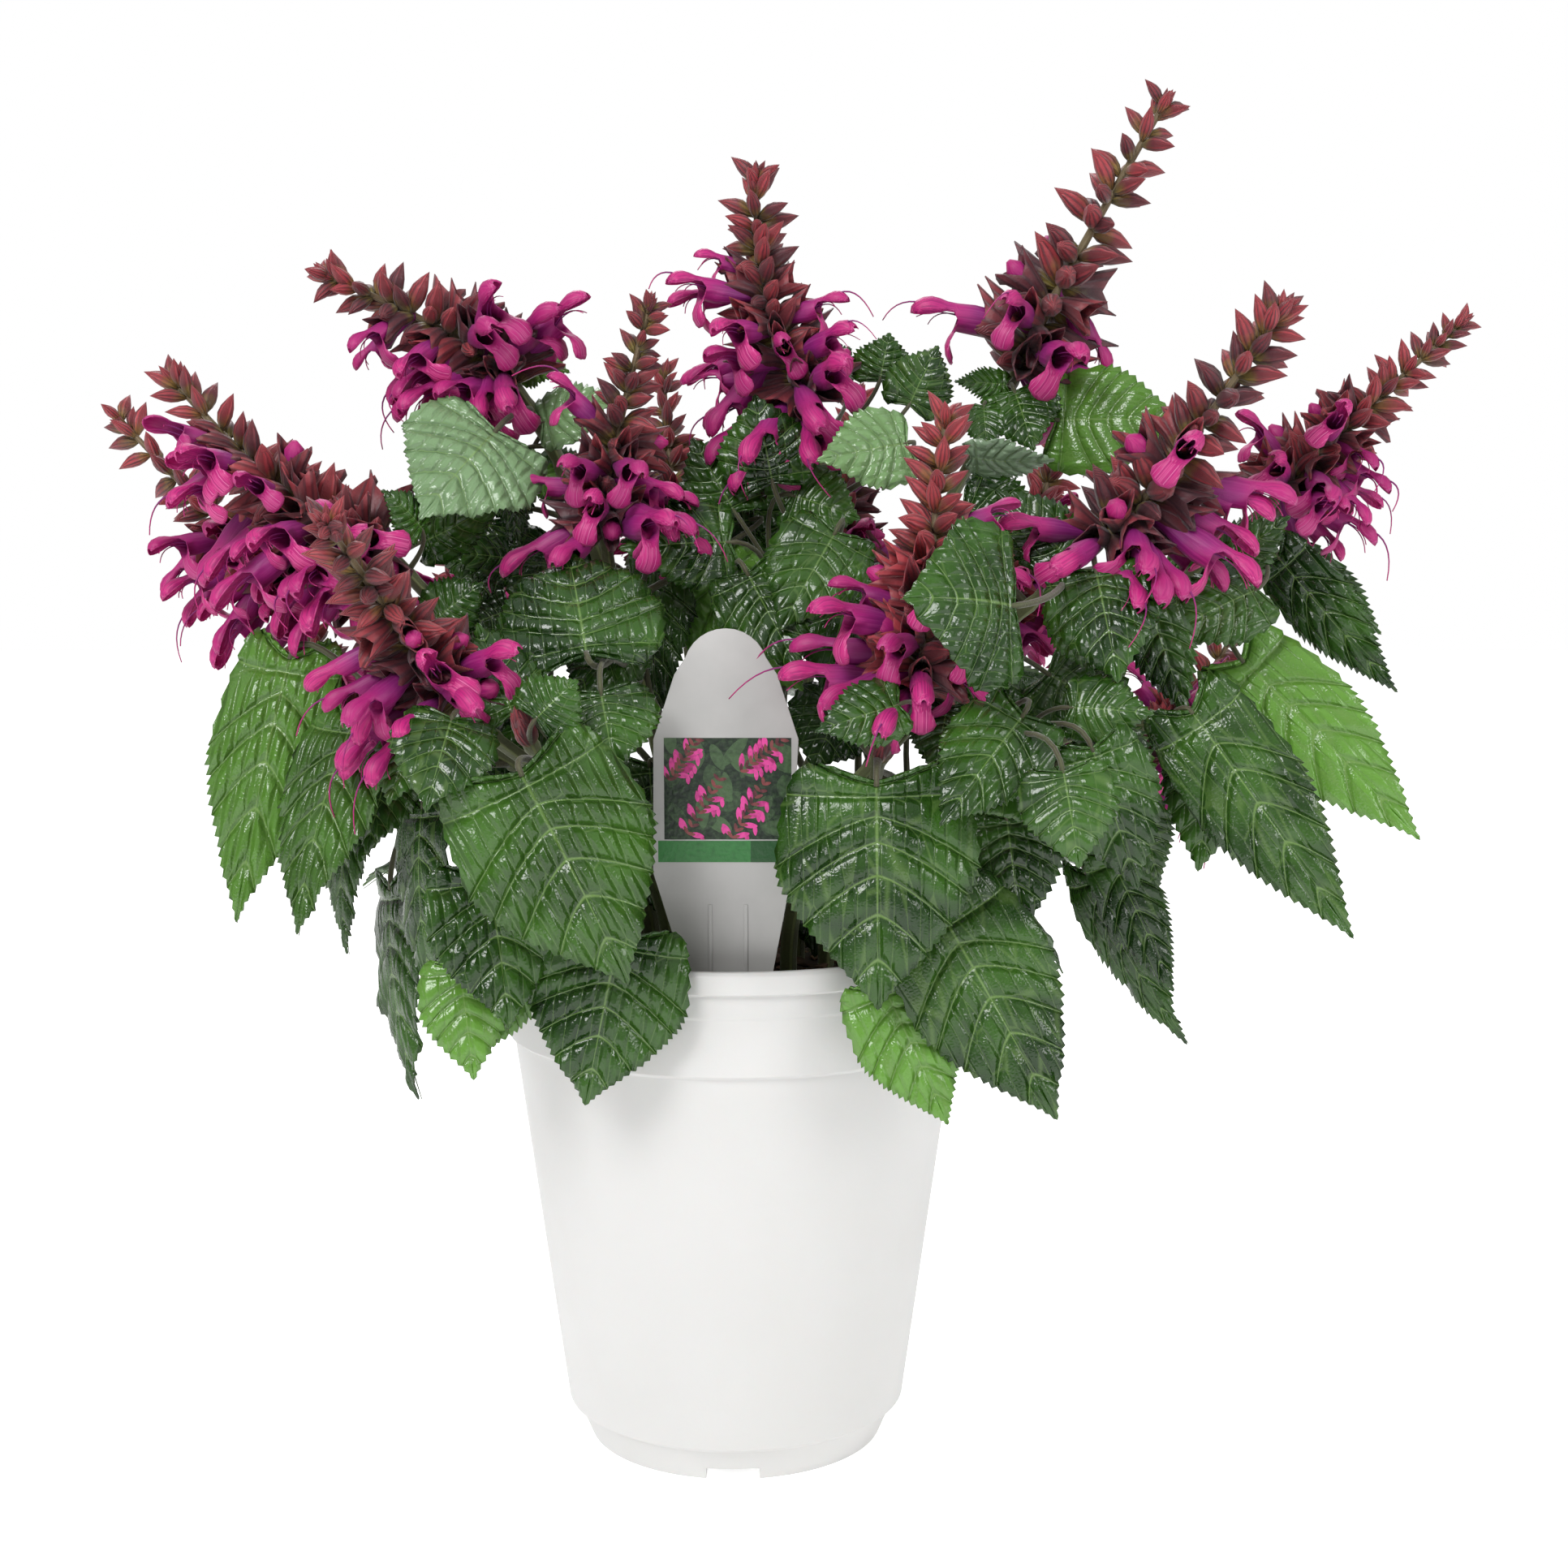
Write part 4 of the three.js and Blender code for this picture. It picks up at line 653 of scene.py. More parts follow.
def leaf_material(name, settings, under=False):
    """Quilted leaf skin: dark above with paler veins, and pale grey-green with raised veins below, both with
    painted shade in the creases. Above, each leaf's tone paints how lit it looks: dark green for painted
    shade, bright green for painted light through the blade, and pale grey-green for a painted reflection.
    """
    material, tree, shader = new_material(name)
    inputs = {"Veins": LEAF_VEINS, "Net": 1.1, "Width": 0.11 if under else 0.055}
    veins = add(tree, "Group", inputs, node_tree=vein_group()).outputs
    tone = attribute(tree, "tone")
    place = object_place(tree)
    patch = noise(tree, place, scale=55.0, detail=3.0)
    mottle = span(tree, patch, 0.35, 0.68)
    if under:
        base = mixed(tree, mottle, settings.under_color, (0.2, 0.29, 0.17))
        painted_shade_color, vein_color, vein_share = (0.09, 0.15, 0.07), (0.42, 0.5, 0.3), 0.8
    else:
        dark = mixed(tree, mottle, settings.dark_color, settings.mid_color)
        # Painted light: the tone mixes in bright green for light through the blade, and above 1 a pale
        # grey-green painted reflection.
        base = mixed(tree, span(tree, tone, 0.35, 1.0), dark, settings.bright_color)
        base = mixed(tree, span(tree, tone, 1.0, 2.0), base, settings.painted_reflection_color)
        painted_shade_color, vein_color, vein_share = (0.008, 0.03, 0.005), (0.22, 0.36, 0.1), 0.55
    # Painted shade: the leaf is darkened in the creases along the net and beside the veins.
    color = mixed(tree, times(tree, veins["Painted_crease_shade"], 0.3), base, painted_shade_color)
    color = mixed(tree, times(tree, veins["Vein"], vein_share), color, vein_color)
    grain = noise(tree, place, scale=1400.0, detail=2.0)
    relief = times(tree, veins["Height"], attribute(tree, "relief"))
    height = plus(tree, relief, times(tree, grain, 0.05))
    set_surface(tree, shader, color, bump(tree, height, 0.6 if under else 1.0, 0.0007, invert=under))
    tree.links.new(span(tree, patch, 0.2, 0.8, 0.15, 0.28), shader.inputs["Roughness"])
    shader.inputs["Specular IOR Level"].default_value = 0.3 if under else 0.6
    return material


def stem_material(name, low_color, high_color, edge_color):
    """Square hairy stem: ribbed along, with pale edges and a fuzz over it."""
    material, tree, shader = new_material(name)
    place = object_place(tree)
    around = axes(tree, attribute(tree, "chart", "Vector"))["X"]
    edge = maths(tree, "COSINE", times(tree, around, 2 * math.pi * STEM_CORNERS))
    climb = plus(tree, attribute(tree, "tone"), times(tree, noise(tree, place, scale=160.0, detail=4.0), 0.4))
    color = mixed(tree, span(tree, climb, 0.2, 1.1), low_color, high_color)
    color = mixed(tree, times(tree, span(tree, edge, 0.5, 1.0), 0.45), color, edge_color)
    fuzz = noise(tree, place, scale=1800.0, detail=2.0)
    set_surface(tree, shader, color, bump(tree, fuzz, 0.5, 0.0003))
    shader.inputs["Roughness"].default_value = 0.6
    shader.inputs["Sheen Weight"].default_value = 0.35
    return material


def calyx_material(name, settings, lining=False):
    """Ribbed calyx: maroon with dark ribs and a brick tip, or olive and red inside an opened one."""
    material, tree, shader = new_material(name)
    chart = axes(tree, attribute(tree, "chart", "Vector"))
    place = object_place(tree)
    cloud = noise(tree, place, scale=220.0, detail=3.0)
    rib = maths(tree, "COSINE", times(tree, chart["X"], 2 * math.pi * CALYX_RIBS))
    if lining:
        climb = span(tree, plus(tree, chart["Y"], times(tree, cloud, 0.4)), 1.0, 1.4)
        color = mixed(tree, climb, settings.lining_color, settings.tip_color)
        rib_share = 0.2
    else:
        raised = plus(tree, times(tree, chart["Y"], 0.7), attribute(tree, "tone"))
        climb = span(tree, plus(tree, raised, times(tree, cloud, 0.35)), 0.7, 1.9)
        color = mixed(tree, climb, settings.body_color, settings.tip_color)
        green = span(tree, plus(tree, chart["Y"], cloud), 0.5, 1.0, 0.75, 0.0)
        color = mixed(tree, times(tree, green, 0.65), color, settings.lining_color)
        rib_share = 0.75
    line = times(tree, span(tree, rib, -0.2, 0.9), span(tree, cloud, 0.3, 0.7, 0.5, 1.0))
    color = mixed(tree, times(tree, line, rib_share), color, settings.rib_color)
    grain = noise(tree, place, scale=1500.0, detail=2.0)
    relief = plus(tree, times(tree, rib, 0.35), times(tree, grain, 0.4))
    set_surface(tree, shader, color, bump(tree, relief, 0.6, 0.0004))
    shader.inputs["Roughness"].default_value = 0.5
    shader.inputs["Sheen Weight"].default_value = 0.15
    return material


def petal_material(name, settings):
    """Petal: purple down in the tube, magenta along the hood and pink with pale streaks on the lip, and pale
    streaks along the rims of hood and lip as a painted highlight.
    """
    material, tree, shader = new_material(name)
    chart = attribute(tree, "chart", "Vector")
    part = axes(tree, chart)
    stretch = add(tree, "Mapping", {"Vector": chart, "Scale": (34.0, 1.6, 5.0)}).outputs["Vector"]
    streak = noise(tree, stretch, scale=1.0, detail=3.0)
    cloud = noise(tree, object_place(tree), scale=140.0, detail=2.0)
    climb = span(tree, plus(tree, part["Y"], times(tree, cloud, 0.5)), 0.45, 1.25)
    color = mixed(tree, climb, settings.tube_color, settings.petal_color)
    # Pale streaks on the lip, and a painted highlight of the same pale pink along the open rims.
    pale = times(tree, span(tree, streak, 0.5, 0.78), span(tree, part["Z"], 0.2, 1.0, 0.18, 0.85))
    color = mixed(tree, pale, color, settings.lip_color)
    dusk = times(tree, span(tree, streak, 0.32, 0.56, 1.0, 0.0), 0.6)
    dusk = maths(tree, "MAXIMUM", dusk, span(tree, attribute(tree, "tone"), 0.3, 0.9, 0.4, 0.0))
    color = mixed(tree, dusk, color, (0.17, 0.004, 0.1))
    set_surface(tree, shader, color, bump(tree, plus(tree, streak, times(tree, cloud, 0.5)), 0.35, 0.0004))
    shader.inputs["Roughness"].default_value = 0.5
    shader.inputs["Sheen Weight"].default_value = 0.06
    shader.inputs["Sheen Tint"].default_value = (1.0, 0.5, 0.8, 1)
    return material


def plain_material(name, color, other, roughness, scale, depth=0.0002):
    """A mottled surface of two near colours with a fine grain."""
    material, tree, shader = new_material(name)
    cloud = noise(tree, object_place(tree), scale=scale, detail=5.0)
    share = span(tree, plus(tree, cloud, times(tree, attribute(tree, "tone"), 0.6)), 0.35, 1.1)
    set_surface(tree, shader, mixed(tree, share, color, other), bump(tree, cloud, 0.6, depth))
    shader.inputs["Roughness"].default_value = roughness
    return material


def pot_material(settings):
    """Warm white moulded plastic: satin, with faint scuffs and a soft unevenness."""
    material, tree, shader = new_material("Pot plastic")
    place = object_place(tree)
    cloud = noise(tree, place, scale=18.0, detail=4.0)
    color = mixed(tree, span(tree, cloud, 0.3, 0.7), settings.wall_color, (0.685, 0.68, 0.665))
    fine = noise(tree, place, scale=900.0, detail=2.0)
    set_surface(tree, shader, color, bump(tree, fine, 0.12, 0.0002))
    scuff = noise(tree, place, scale=60.0, detail=6.0)
    tree.links.new(span(tree, scuff, 0.3, 0.75, 0.3, 0.42), shader.inputs["Roughness"])
    shader.inputs["Subsurface Weight"].default_value = 0.05
    shader.inputs["Subsurface Scale"].default_value = 0.002
    return material


def card_material(settings):
    """White plastic card: nearly smooth, with a faint unevenness."""
    material, tree, shader = new_material("Tag card")
    place = object_place(tree)
    cloud = noise(tree, place, scale=60.0, detail=4.0)
    color = mixed(tree, span(tree, cloud, 0.3, 0.7), settings.card_color, (0.46, 0.455, 0.445))
    fine = noise(tree, place, scale=700.0, detail=2.0)
    set_surface(tree, shader, color, bump(tree, fine, 0.08, 0.0001))
    shader.inputs["Roughness"].default_value = 0.38
    return material


# Leaves.

LEAF_VEINS = 8
LEAF_ROWS = 7
LEAF_COLUMNS = 16
SMALL_ROWS = 4
SMALL_COLUMNS = 10
SMALL_LENGTH = 33
EDGE_CROWDING = 1.25
HEART_DEPTH = 0.23
HEART_SHARE = 0.36
VEIN_SWEEP = 1.9
CELLS_ACROSS = 3.5
FRONT_LIMIT = 34
# Tones drawn at random for a leaf without its own; above 0.35 they mix in a little painted light through the
# blade.
LEAF_TONES = (0.05, 0.45)
EDGE_SHARES = [0, 0.03, 0.06, 0.1, 0.15, 0.2, 0.28, 0.36, 0.45, 0.55, 0.65, 0.75, 0.85, 0.93, 1]
EDGE_WIDTHS = [0, 0.22, 0.38, 0.54, 0.7, 0.82, 0.94, 1.0, 0.95, 0.83, 0.67, 0.48, 0.27, 0.11, 0]


def leaf_template(name, rows, columns):
    """A sheet of rows and columns. Its y is the place along the blade and its x the place across."""
    deselect()
    bpy.ops.mesh.primitive_grid_add(x_subdivisions=columns, y_subdivisions=LEAF_VEINS * rows, size=2)
    made = bpy.context.object
    made.name = name
    shade_smooth(made)
    points = points_of(made)
    set_values(made, "tone", "FLOAT", np.full(len(points), 0.5))
    set_values(made, "chart", "FLOAT_VECTOR", points)
    return made


def leaf_facing(place):
    """The way a leaf faces: towards the viewer near the front, and outwards behind."""
    if place[1] < FRONT_LIMIT:
        return unit(unit(EYE - place) + 0.25 * UP)
    return unit(unit(np.array([place[0], place[1], 0.0])) + 0.8 * UP)


def leaf_frame(row):
    """The midrib's control points, the way the leaf faces and the way it runs."""
    along = unit(row["tip"] - row["base"])
    middle = (row["base"] + row["tip"]) / 2
    face = square_to(leaf_facing(middle), along)
    face = turned(face, along, row["roll"])
    return [row["base"], middle + face * row["arch"], row["tip"]], face, along


def blade_points(template, row, settings, luck):
    """The template's points laid out as one leaf: its toothed heart shape, cup, quilting and waves."""
    grid = points_of(template)
    controls, face, _ = leaf_frame(row)
    length = np.linalg.norm(row["tip"] - row["base"])
    small = length < SMALL_LENGTH
    rows = SMALL_ROWS if small else LEAF_ROWS
    s = (grid[:, 1] + 1) / 2
    across = grid[:, 0]
    a = np.abs(across) ** EDGE_CROWDING
    out = np.interp(s, EDGE_SHARES, EDGE_WIDTHS)
    reach = s - HEART_DEPTH * np.sin(math.pi * np.minimum(1, s / HEART_SHARE))
    rib = s ** VEIN_SWEEP
    line = np.rint(s * LEAF_VEINS * rows)
    saw = line % 2
    odd = 0.75 + 0.5 * np.modf(np.abs(np.sin(line * 12.9898 + np.sign(across) * 4.1)) * 43758.5)[0]
    bite = odd * settings.tooth_depth * (0.4 + 0.6 * out) * smooth(0.72, 1.0, a) * (saw - 0.5)
    half = row["wide"] / 2
    t = rib + (reach - rib) * a ** 1.4
    t = t + 0.35 * (bite / max(half, 1)) * smooth(0.03, 0.1, s)
    inside = np.clip(t, 0, 1)
    centre = bezier(controls, inside)
    tangent = heading(controls, inside)
    centre = centre + tangent * ((t - inside) * length)[:, None]
    sideways = unit(np.cross(tangent, face))
    far = half * out * a + bite
    far = np.maximum(far, 0) * smooth(0, 0.015, s) * (a > 0)
    ease = smooth(0.0, 0.12, s) * smooth(0.0, 0.1, 1 - s)
    vein_wave = np.abs(np.sin(math.pi * LEAF_VEINS * s)) ** 0.7
    quilt = settings.quilting * (half / 20) ** 0.5 * (vein_wave - 0.55) * smooth(0.02, 0.3, a) * ease
    cells = np.abs(np.sin(math.pi * (CELLS_ACROSS * a + 0.5 * np.floor(s * LEAF_VEINS)))) ** 0.7
    quilt = quilt + 0.3 * (half / 20) ** 0.5 * (cells - 0.6) * smooth(0.12, 0.3, a) * ease
    valley = -0.02 * half * np.exp(-(a / 0.1) ** 2) * ease
    cup = -0.14 * half * out * out * a ** 1.5
    wave = 0.05 * half * np.sin(2 * math.pi * (2.4 * s + luck.random())) * a ** 2 * ease
    wave += 0.03 * half * np.sin(2 * math.pi * (4.7 * s + luck.random())) * a ** 3 * np.sign(across) * ease
    lift = quilt + valley + cup + wave
    points = centre + sideways * (far * np.sign(across))[:, None] + face * lift[:, None]
    chart = np.stack([t * length, far * np.sign(across), np.full(len(s), 40 * luck.random())], axis=1)
    return points, chart


def make_leaf(templates, row, stem_point, settings, luck):
    """One leaf: its blade, the raised midrib under it and its stalk back to the stem."""
    length = np.linalg.norm(row["tip"] - row["base"])
    # The tone paints how lit the leaf looks; one is drawn at random where the leaf has none.
    tone = row["tone"] if row["tone"] is not None else luck.uniform(*LEAF_TONES)
    template = templates["small"] if length < SMALL_LENGTH else templates["leaf"]
    points, chart = blade_points(template, row, settings, luck)
    blade = copy_of(template, points, tone)
    set_values(blade, "chart", "FLOAT_VECTOR", chart)
    set_values(blade, "relief", "FLOAT", np.full(len(points), min(1.0, length / 50)))
    controls, face, along = leaf_frame(row)
    scale = min(1.0, 0.45 + row["wide"] / 60)
    under = [p - face * (0.01 * row["wide"] + 0.5 * scale) for p in controls]
    rod = templates["rod"]
    rib = copy_of(rod, along_curve(rod, under, lambda t: scale * (0.62 - 0.52 * t), face), 0.9)
    reach = np.linalg.norm(stem_point - row["base"])
    bend = row["base"] - along * 0.3 * reach + UP * 0.04 * reach
    start = row["base"] + along * 1.2 - face * 0.2
    path = [start, bend, stem_point]
    stalk = copy_of(rod, along_curve(
        rod, path, lambda t: PETIOLE_RADIUS * scale * (0.8 + 0.5 * t ** 3), face), 0.35)
    return blade, rib, stalk


def stem_controls(foot, lean, top):
    start = np.array([foot[0], foot[1], STEM_START])
    return [start, start + UP * STEM_RISE, lean, top]


def make_stem(templates, controls, nodes, name):
    """A square stem, swollen where its leaves grow, standing straight down into its hole."""
    template = templates["stem"]
    points = points_of(template)
    t = points[:, 2]
    side = np.array([1.0, 0.3, 0.0])

    def radius(share):
        plain = STEM_RADIUS + (STEM_TOP_RADIUS - STEM_RADIUS) * share
        swell = sum(0.3 * np.exp(-((share - at) / 0.012) ** 2) for at in nodes)
        return plain * (1 + np.minimum(swell, 0.3))

    angle = np.arctan2(points[:, 1], points[:, 0])
    squared = 1 - 0.25 * np.abs(np.sin(2 * angle)) ** 1.5
    ring = np.hypot(points[:, 0], points[:, 1])
    carried = points * np.stack([squared, squared, np.ones(len(t))], axis=1)
    held = points_of(template)
    set_points(template, carried)
    laid = along_curve(template, controls, radius, side)
    set_points(template, held)
    foot = controls[0].copy()
    foot[2] = STEM_FOOT
    low = t < 1e-4
    laid[low] += foot - controls[0]
    hollow = low & (ring < 1e-4)
    laid[hollow] = foot
    made = copy_of(template, laid, 0.4)
    made.name = name
    return made


def shoot_table():
    """Every leafy stem: its curve, its leaves and whether it ends in a bud."""
    shoots = {}
    for name, row in STEMS.items():
        controls = stem_controls(row["foot"], row["lean"], row["top"])
        shoots[name] = {"controls": controls, "leaves": list(LEAVES.get(name, [])), "bud": row["bud"]}
    for number, row in enumerate(BACK_SHOOTS, 1):
        foot = polar(row["turn"], BACK_FOOT_RADIUS, 0)
        lean = polar(row["turn"], row["reach"] * 0.75, row["height"] * 0.55 + 66)
        top = polar(row["turn"], row["reach"], row["height"])
        shoots[f"stem_back_{number}"] = {
            "controls": stem_controls(foot, lean, top), "leaves": [], "bud": False}
    for ring in BACK_RINGS:
        for k in range(ring["count"]):
            share = k / (ring["count"] - 1)
            angle = ring["turn"] + (180 - 2 * ring["turn"]) * k / (ring["count"] - 1)
            nearest = min(range(len(BACK_SHOOTS)), key=lambda i: abs(BACK_SHOOTS[i]["turn"] - angle))
            shoots[f"stem_back_{nearest + 1}"]["leaves"].append({
                "at": ring["at"], "base": polar(angle, ring["reach"], ring["height"]),
                "tip": polar(angle, ring["tip_reach"], ring["tip_height"]), "wide": ring["wide"],
                "arch": 5, "roll": ring.get("roll", 0) * (2 * share - 1), "tone": None})
    return shoots


def leafy_templates():
    return {
        "leaf": leaf_template("leaf", LEAF_ROWS, LEAF_COLUMNS),
        "small": leaf_template("small_leaf", SMALL_ROWS, SMALL_COLUMNS),
        "rod": tube_template("rod", 8, 9),
        "stem": tube_template("stem_rod", 16, 44),
        "bract": spindle_template("bract", [0, 0.2, 0.45, 0.7, 0.9, 1], [0.1, 0.2, 0.24, 0.17, 0.07, 0.01]),
    }


def drop_templates(templates):
    for template in templates.values():
        mesh = template.data
        bpy.data.objects.remove(template)
        bpy.data.meshes.remove(mesh)


def make_bud(template, controls, luck):
    """The shut tip of a young shoot: ribbed bracts that overlap in rings round its tip."""
    along = heading(controls, [1.0])[0]
    lean = unit(along + 0.5 * np.array([luck.uniform(0.2, 0.8), -1.0, 0.0]))
    root = controls[-1] - along * BUD_SINK
    bracts = []
    for k in range(BRACTS):
        ring = k // 3
        out = turned(unit(lean + (0.34 - 0.13 * ring) * square_to(RIGHT, lean)), lean, 120 * k + 40 * ring)
        up = square_to(lean, out)
        long = BUD_LENGTH * (0.82 + 0.08 * ring)
        bracts.append(placed(template, root + lean * ring * 1.3, out, up, long, luck.uniform(0.2, 0.7)))
    return bracts


def set_slots(obj, materials, index=0):
    """Gives a piece its material slots, with all of its faces in one of them."""
    obj.data.materials.clear()
    for material in materials:
        obj.data.materials.append(material)
    obj.data.polygons.foreach_set("material_index", np.full(len(obj.data.polygons), index, dtype=np.int32))


def to_metres(obj):
    set_points(obj, points_of(obj) * MM)


class SalviaLeafSettings(bpy.types.PropertyGroup):
    """Sizes and colours of the leaves."""
    blade: number_property("Blade", "Thickness of a blade, in millimetres", 0.4, min=0.1)
    tooth_depth: number_property("Teeth", "Depth of the margin's teeth, in millimetres", 0.8)
    quilting: number_property("Quilting", "Rise between the veins, in millimetres", 1.1)
    dark_color: color_property("Dark", "Darkest green", (0.007, 0.03, 0.003))
    mid_color: color_property("Middle", "Common green", (0.036, 0.11, 0.01))
    bright_color: color_property("Bright", "Green of a leaf with light through it", (0.14, 0.33, 0.045))
    # Painted reflection: the pale grey-green mixed into leaves whose tone is above 1, standing in for their
    # glossy highlight.
    painted_reflection_color: color_property("Frost", "Grey-green of a leaf with a waxy bloom", (0.24, 0.32, 0.24))
    under_color: color_property("Underside", "Grey-green of the underside", (0.13, 0.2, 0.12))


class SALVIA_OT_leafy_stems(bpy.types.Operator):
    """Model every leafy stem with its leaves and buds"""
    bl_idname = "salvia.leafy_stems"
    bl_label = "Leafy Stems"

    def execute(self, context):
        settings = context.scene.salvia_leaf
        above = leaf_material("Leaf above", settings)
        below = leaf_material("Leaf below", settings, under=True)
        skin = stem_material("Stem skin", (0.07, 0.05, 0.025), (0.11, 0.17, 0.04), (0.3, 0.34, 0.14))
        stalk_skin = stem_material("Stalk skin", (0.05, 0.02, 0.015), (0.07, 0.12, 0.03), (0.09, 0.11, 0.04))
        bract = calyx_material("Bract", context.scene.salvia_bloom)
        slots = [above, below, skin, stalk_skin, bract]
        templates = leafy_templates()
        luck = random.Random(41)
        for name, shoot in shoot_table().items():
            blades, rods = [], []
            for row in shoot["leaves"]:
                point = bezier(shoot["controls"], [row["at"]])[0]
                blade, rib, stalk = make_leaf(templates, row, point, settings, luck)
                blades.append(blade)
                rods += [rib, stalk]
            nodes = sorted({round(row["at"], 2) for row in shoot["leaves"]})
            parts = [make_stem(templates, shoot["controls"], nodes, name)]
            buds = make_bud(templates["bract"], shoot["controls"], luck) if shoot["bud"] else []
            for group, slot in ((parts, 2), (rods, 3), (blades, 0), (buds, 4)):
                for part in group:
                    set_slots(part, slots, slot)
            if blades:
                sheet = joined("blades", blades)
                merge_doubles(sheet, 0.01)
                thicken(sheet, settings.blade, 1)
                parts.append(sheet)
            piece = joined(f"leafy_{name}", parts + rods + buds)
            to_metres(piece)
            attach(piece, "root")
            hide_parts(name)
        drop_templates(templates)
        return {"FINISHED"}


# Flowers.

class SalviaBloomSettings(bpy.types.PropertyGroup):
    """Sizes and colours of the flower spikes."""
    calyx_length: number_property("Calyx", "Length of a full calyx, in millimetres", CALYX_LENGTH)
    body_color: color_property("Calyx body", "Maroon of a calyx", (0.075, 0.012, 0.02))
    tip_color: color_property("Calyx tip", "Brick red of a calyx tip", (0.42, 0.045, 0.058))
    rib_color: color_property("Calyx rib", "Dark purple of the ribs", (0.018, 0.005, 0.012))
    lining_color: color_property("Calyx lining", "Olive inside an opened calyx", (0.32, 0.3, 0.035))
    tube_color: color_property("Tube", "Purple of the flower's tube", (0.22, 0.01, 0.17))
    petal_color: color_property("Petal", "Magenta of the petals", (0.57, 0.012, 0.19))
    lip_color: color_property("Lip", "Pink of the streaks on the lip", (0.76, 0.27, 0.5))


def shut_calyx_template():
    """A shut calyx, 1 long: a ribbed spindle with a flattened, pointed end."""
    made = tube_template("shut_calyx", SPINDLE_SIDES, SPINDLE_CUTS)
    points = points_of(made)
    z = points[:, 2]
    angle = np.arctan2(points[:, 1], points[:, 0])
    belly = np.interp(z, [0, 0.2, 0.4, 0.6, 0.8, 1], [0.055, 0.15, 0.19, 0.165, 0.09, 0.004])
    ribbed = 1 + 0.07 * np.cos(SPINDLE_SIDES * angle + math.pi / SPINDLE_SIDES)
    spread = np.hypot(points[:, 0], points[:, 1])
    points[:, 0] = np.cos(angle) * belly * ribbed * spread * (1 - 0.15 * z)
    points[:, 1] = np.sin(angle) * belly * ribbed * spread + 0.05 * np.sin(math.pi * z)
    set_points(made, points)
    merge_doubles(made, 0.012)
    face_outwards(made)
    return made


def open_calyx_template():
    """An opened calyx, about 1 long: one broad upper lip and two pointed lower ones."""
    made = tube_template("open_calyx", 12, 4, capped=False)
    points = points_of(made)
    z = points[:, 2].copy()
    angle = np.arctan2(points[:, 1], points[:, 0])
    belly = np.interp(z, [0, 0.25, 0.5, 0.75, 1], [0.055, 0.15, 0.19, 0.2, 0.2])
    upper = np.clip(np.sin(angle), 0, 1) ** 1.6
    lower = sum(np.clip(np.cos(angle + math.radians(turn)), 0, 1) ** 5 for turn in (55, 125))
    lobe = 0.4 * upper + 0.34 * lower
    rise = smooth(0.6, 1.0, z)
    points[:, 2] = z * 0.74 + lobe * rise
    pinch = 1 - 0.45 * smooth(0.2, 0.42, lobe) * rise
    points[:, 0] = np.cos(angle) * belly * pinch * (1 - 0.2 * rise)
    points[:, 1] = np.sin(angle) * belly * (1 + 0.85 * rise) + 0.04 * np.sin(math.pi * z)
    set_points(made, points)
    face_outwards(made)
    thicken(made, 0.024, 1)
    return made


TUBE_FOOT = 2
TUBE_LENGTH = 18.5

# Rows of the hood and lip: half their width, the height, how far along, and how deep their sides hang.
HOOD_ROWS = [
    (2.2, 3.4, 21.8, 1.8), (2.0, 3.5, 23.6, 1.9), (2.5, 4.0, 25.6, 3.0), (2.8, 4.2, 27.6, 3.8),
    (2.6, 3.7, 29.6, 3.7), (1.9, 2.6, 31.2, 2.9), (0.8, 1.1, 32.2, 1.5),
]
LIP_ROWS = [
    (2.4, -4.2, 21.6, 0.5), (2.3, -5.6, 22.4, 0.8), (3.1, -7.4, 22.8, 1.2), (3.7, -9.2, 22.4, 1.5),
    (3.0, -10.8, 21.4, 1.3), (1.3, -11.6, 20.7, 0.6),
]


def extrude_rows(obj, chosen, rows, shape):
    """Extrudes the chosen open edges row by row. Each row's points, from left to right, are shaped."""
    pick(obj)
    for row in rows:
        choose_edges(obj, chosen)
        bpy.ops.object.mode_set(mode="EDIT")
        bpy.ops.mesh.extrude_edges_move()
        bpy.ops.object.mode_set(mode="OBJECT")
        fresh = [v for v in obj.data.vertices if v.select]
        fresh.sort(key=lambda v: v.co.x)
        for place, vertex in enumerate(fresh):
            vertex.co = shape(*row, 2 * place / (len(fresh) - 1) - 1)
        indices = {v.index for v in fresh}
        chosen = {e.key for e in obj.data.edges if set(e.vertices) <= indices}


def hood_point(half, height, reach, depth, across):
    side = across * math.pi / 2
    return Vector((half * math.sin(side), height - depth * (1 - math.cos(side)), reach))


def lip_point(half, height, reach, depth, across):
    fold = 0.4 * math.exp(-(across / 0.3) ** 2)
    return Vector((half * across, height + 0.3 * across * across, reach - depth * across * across - fold))


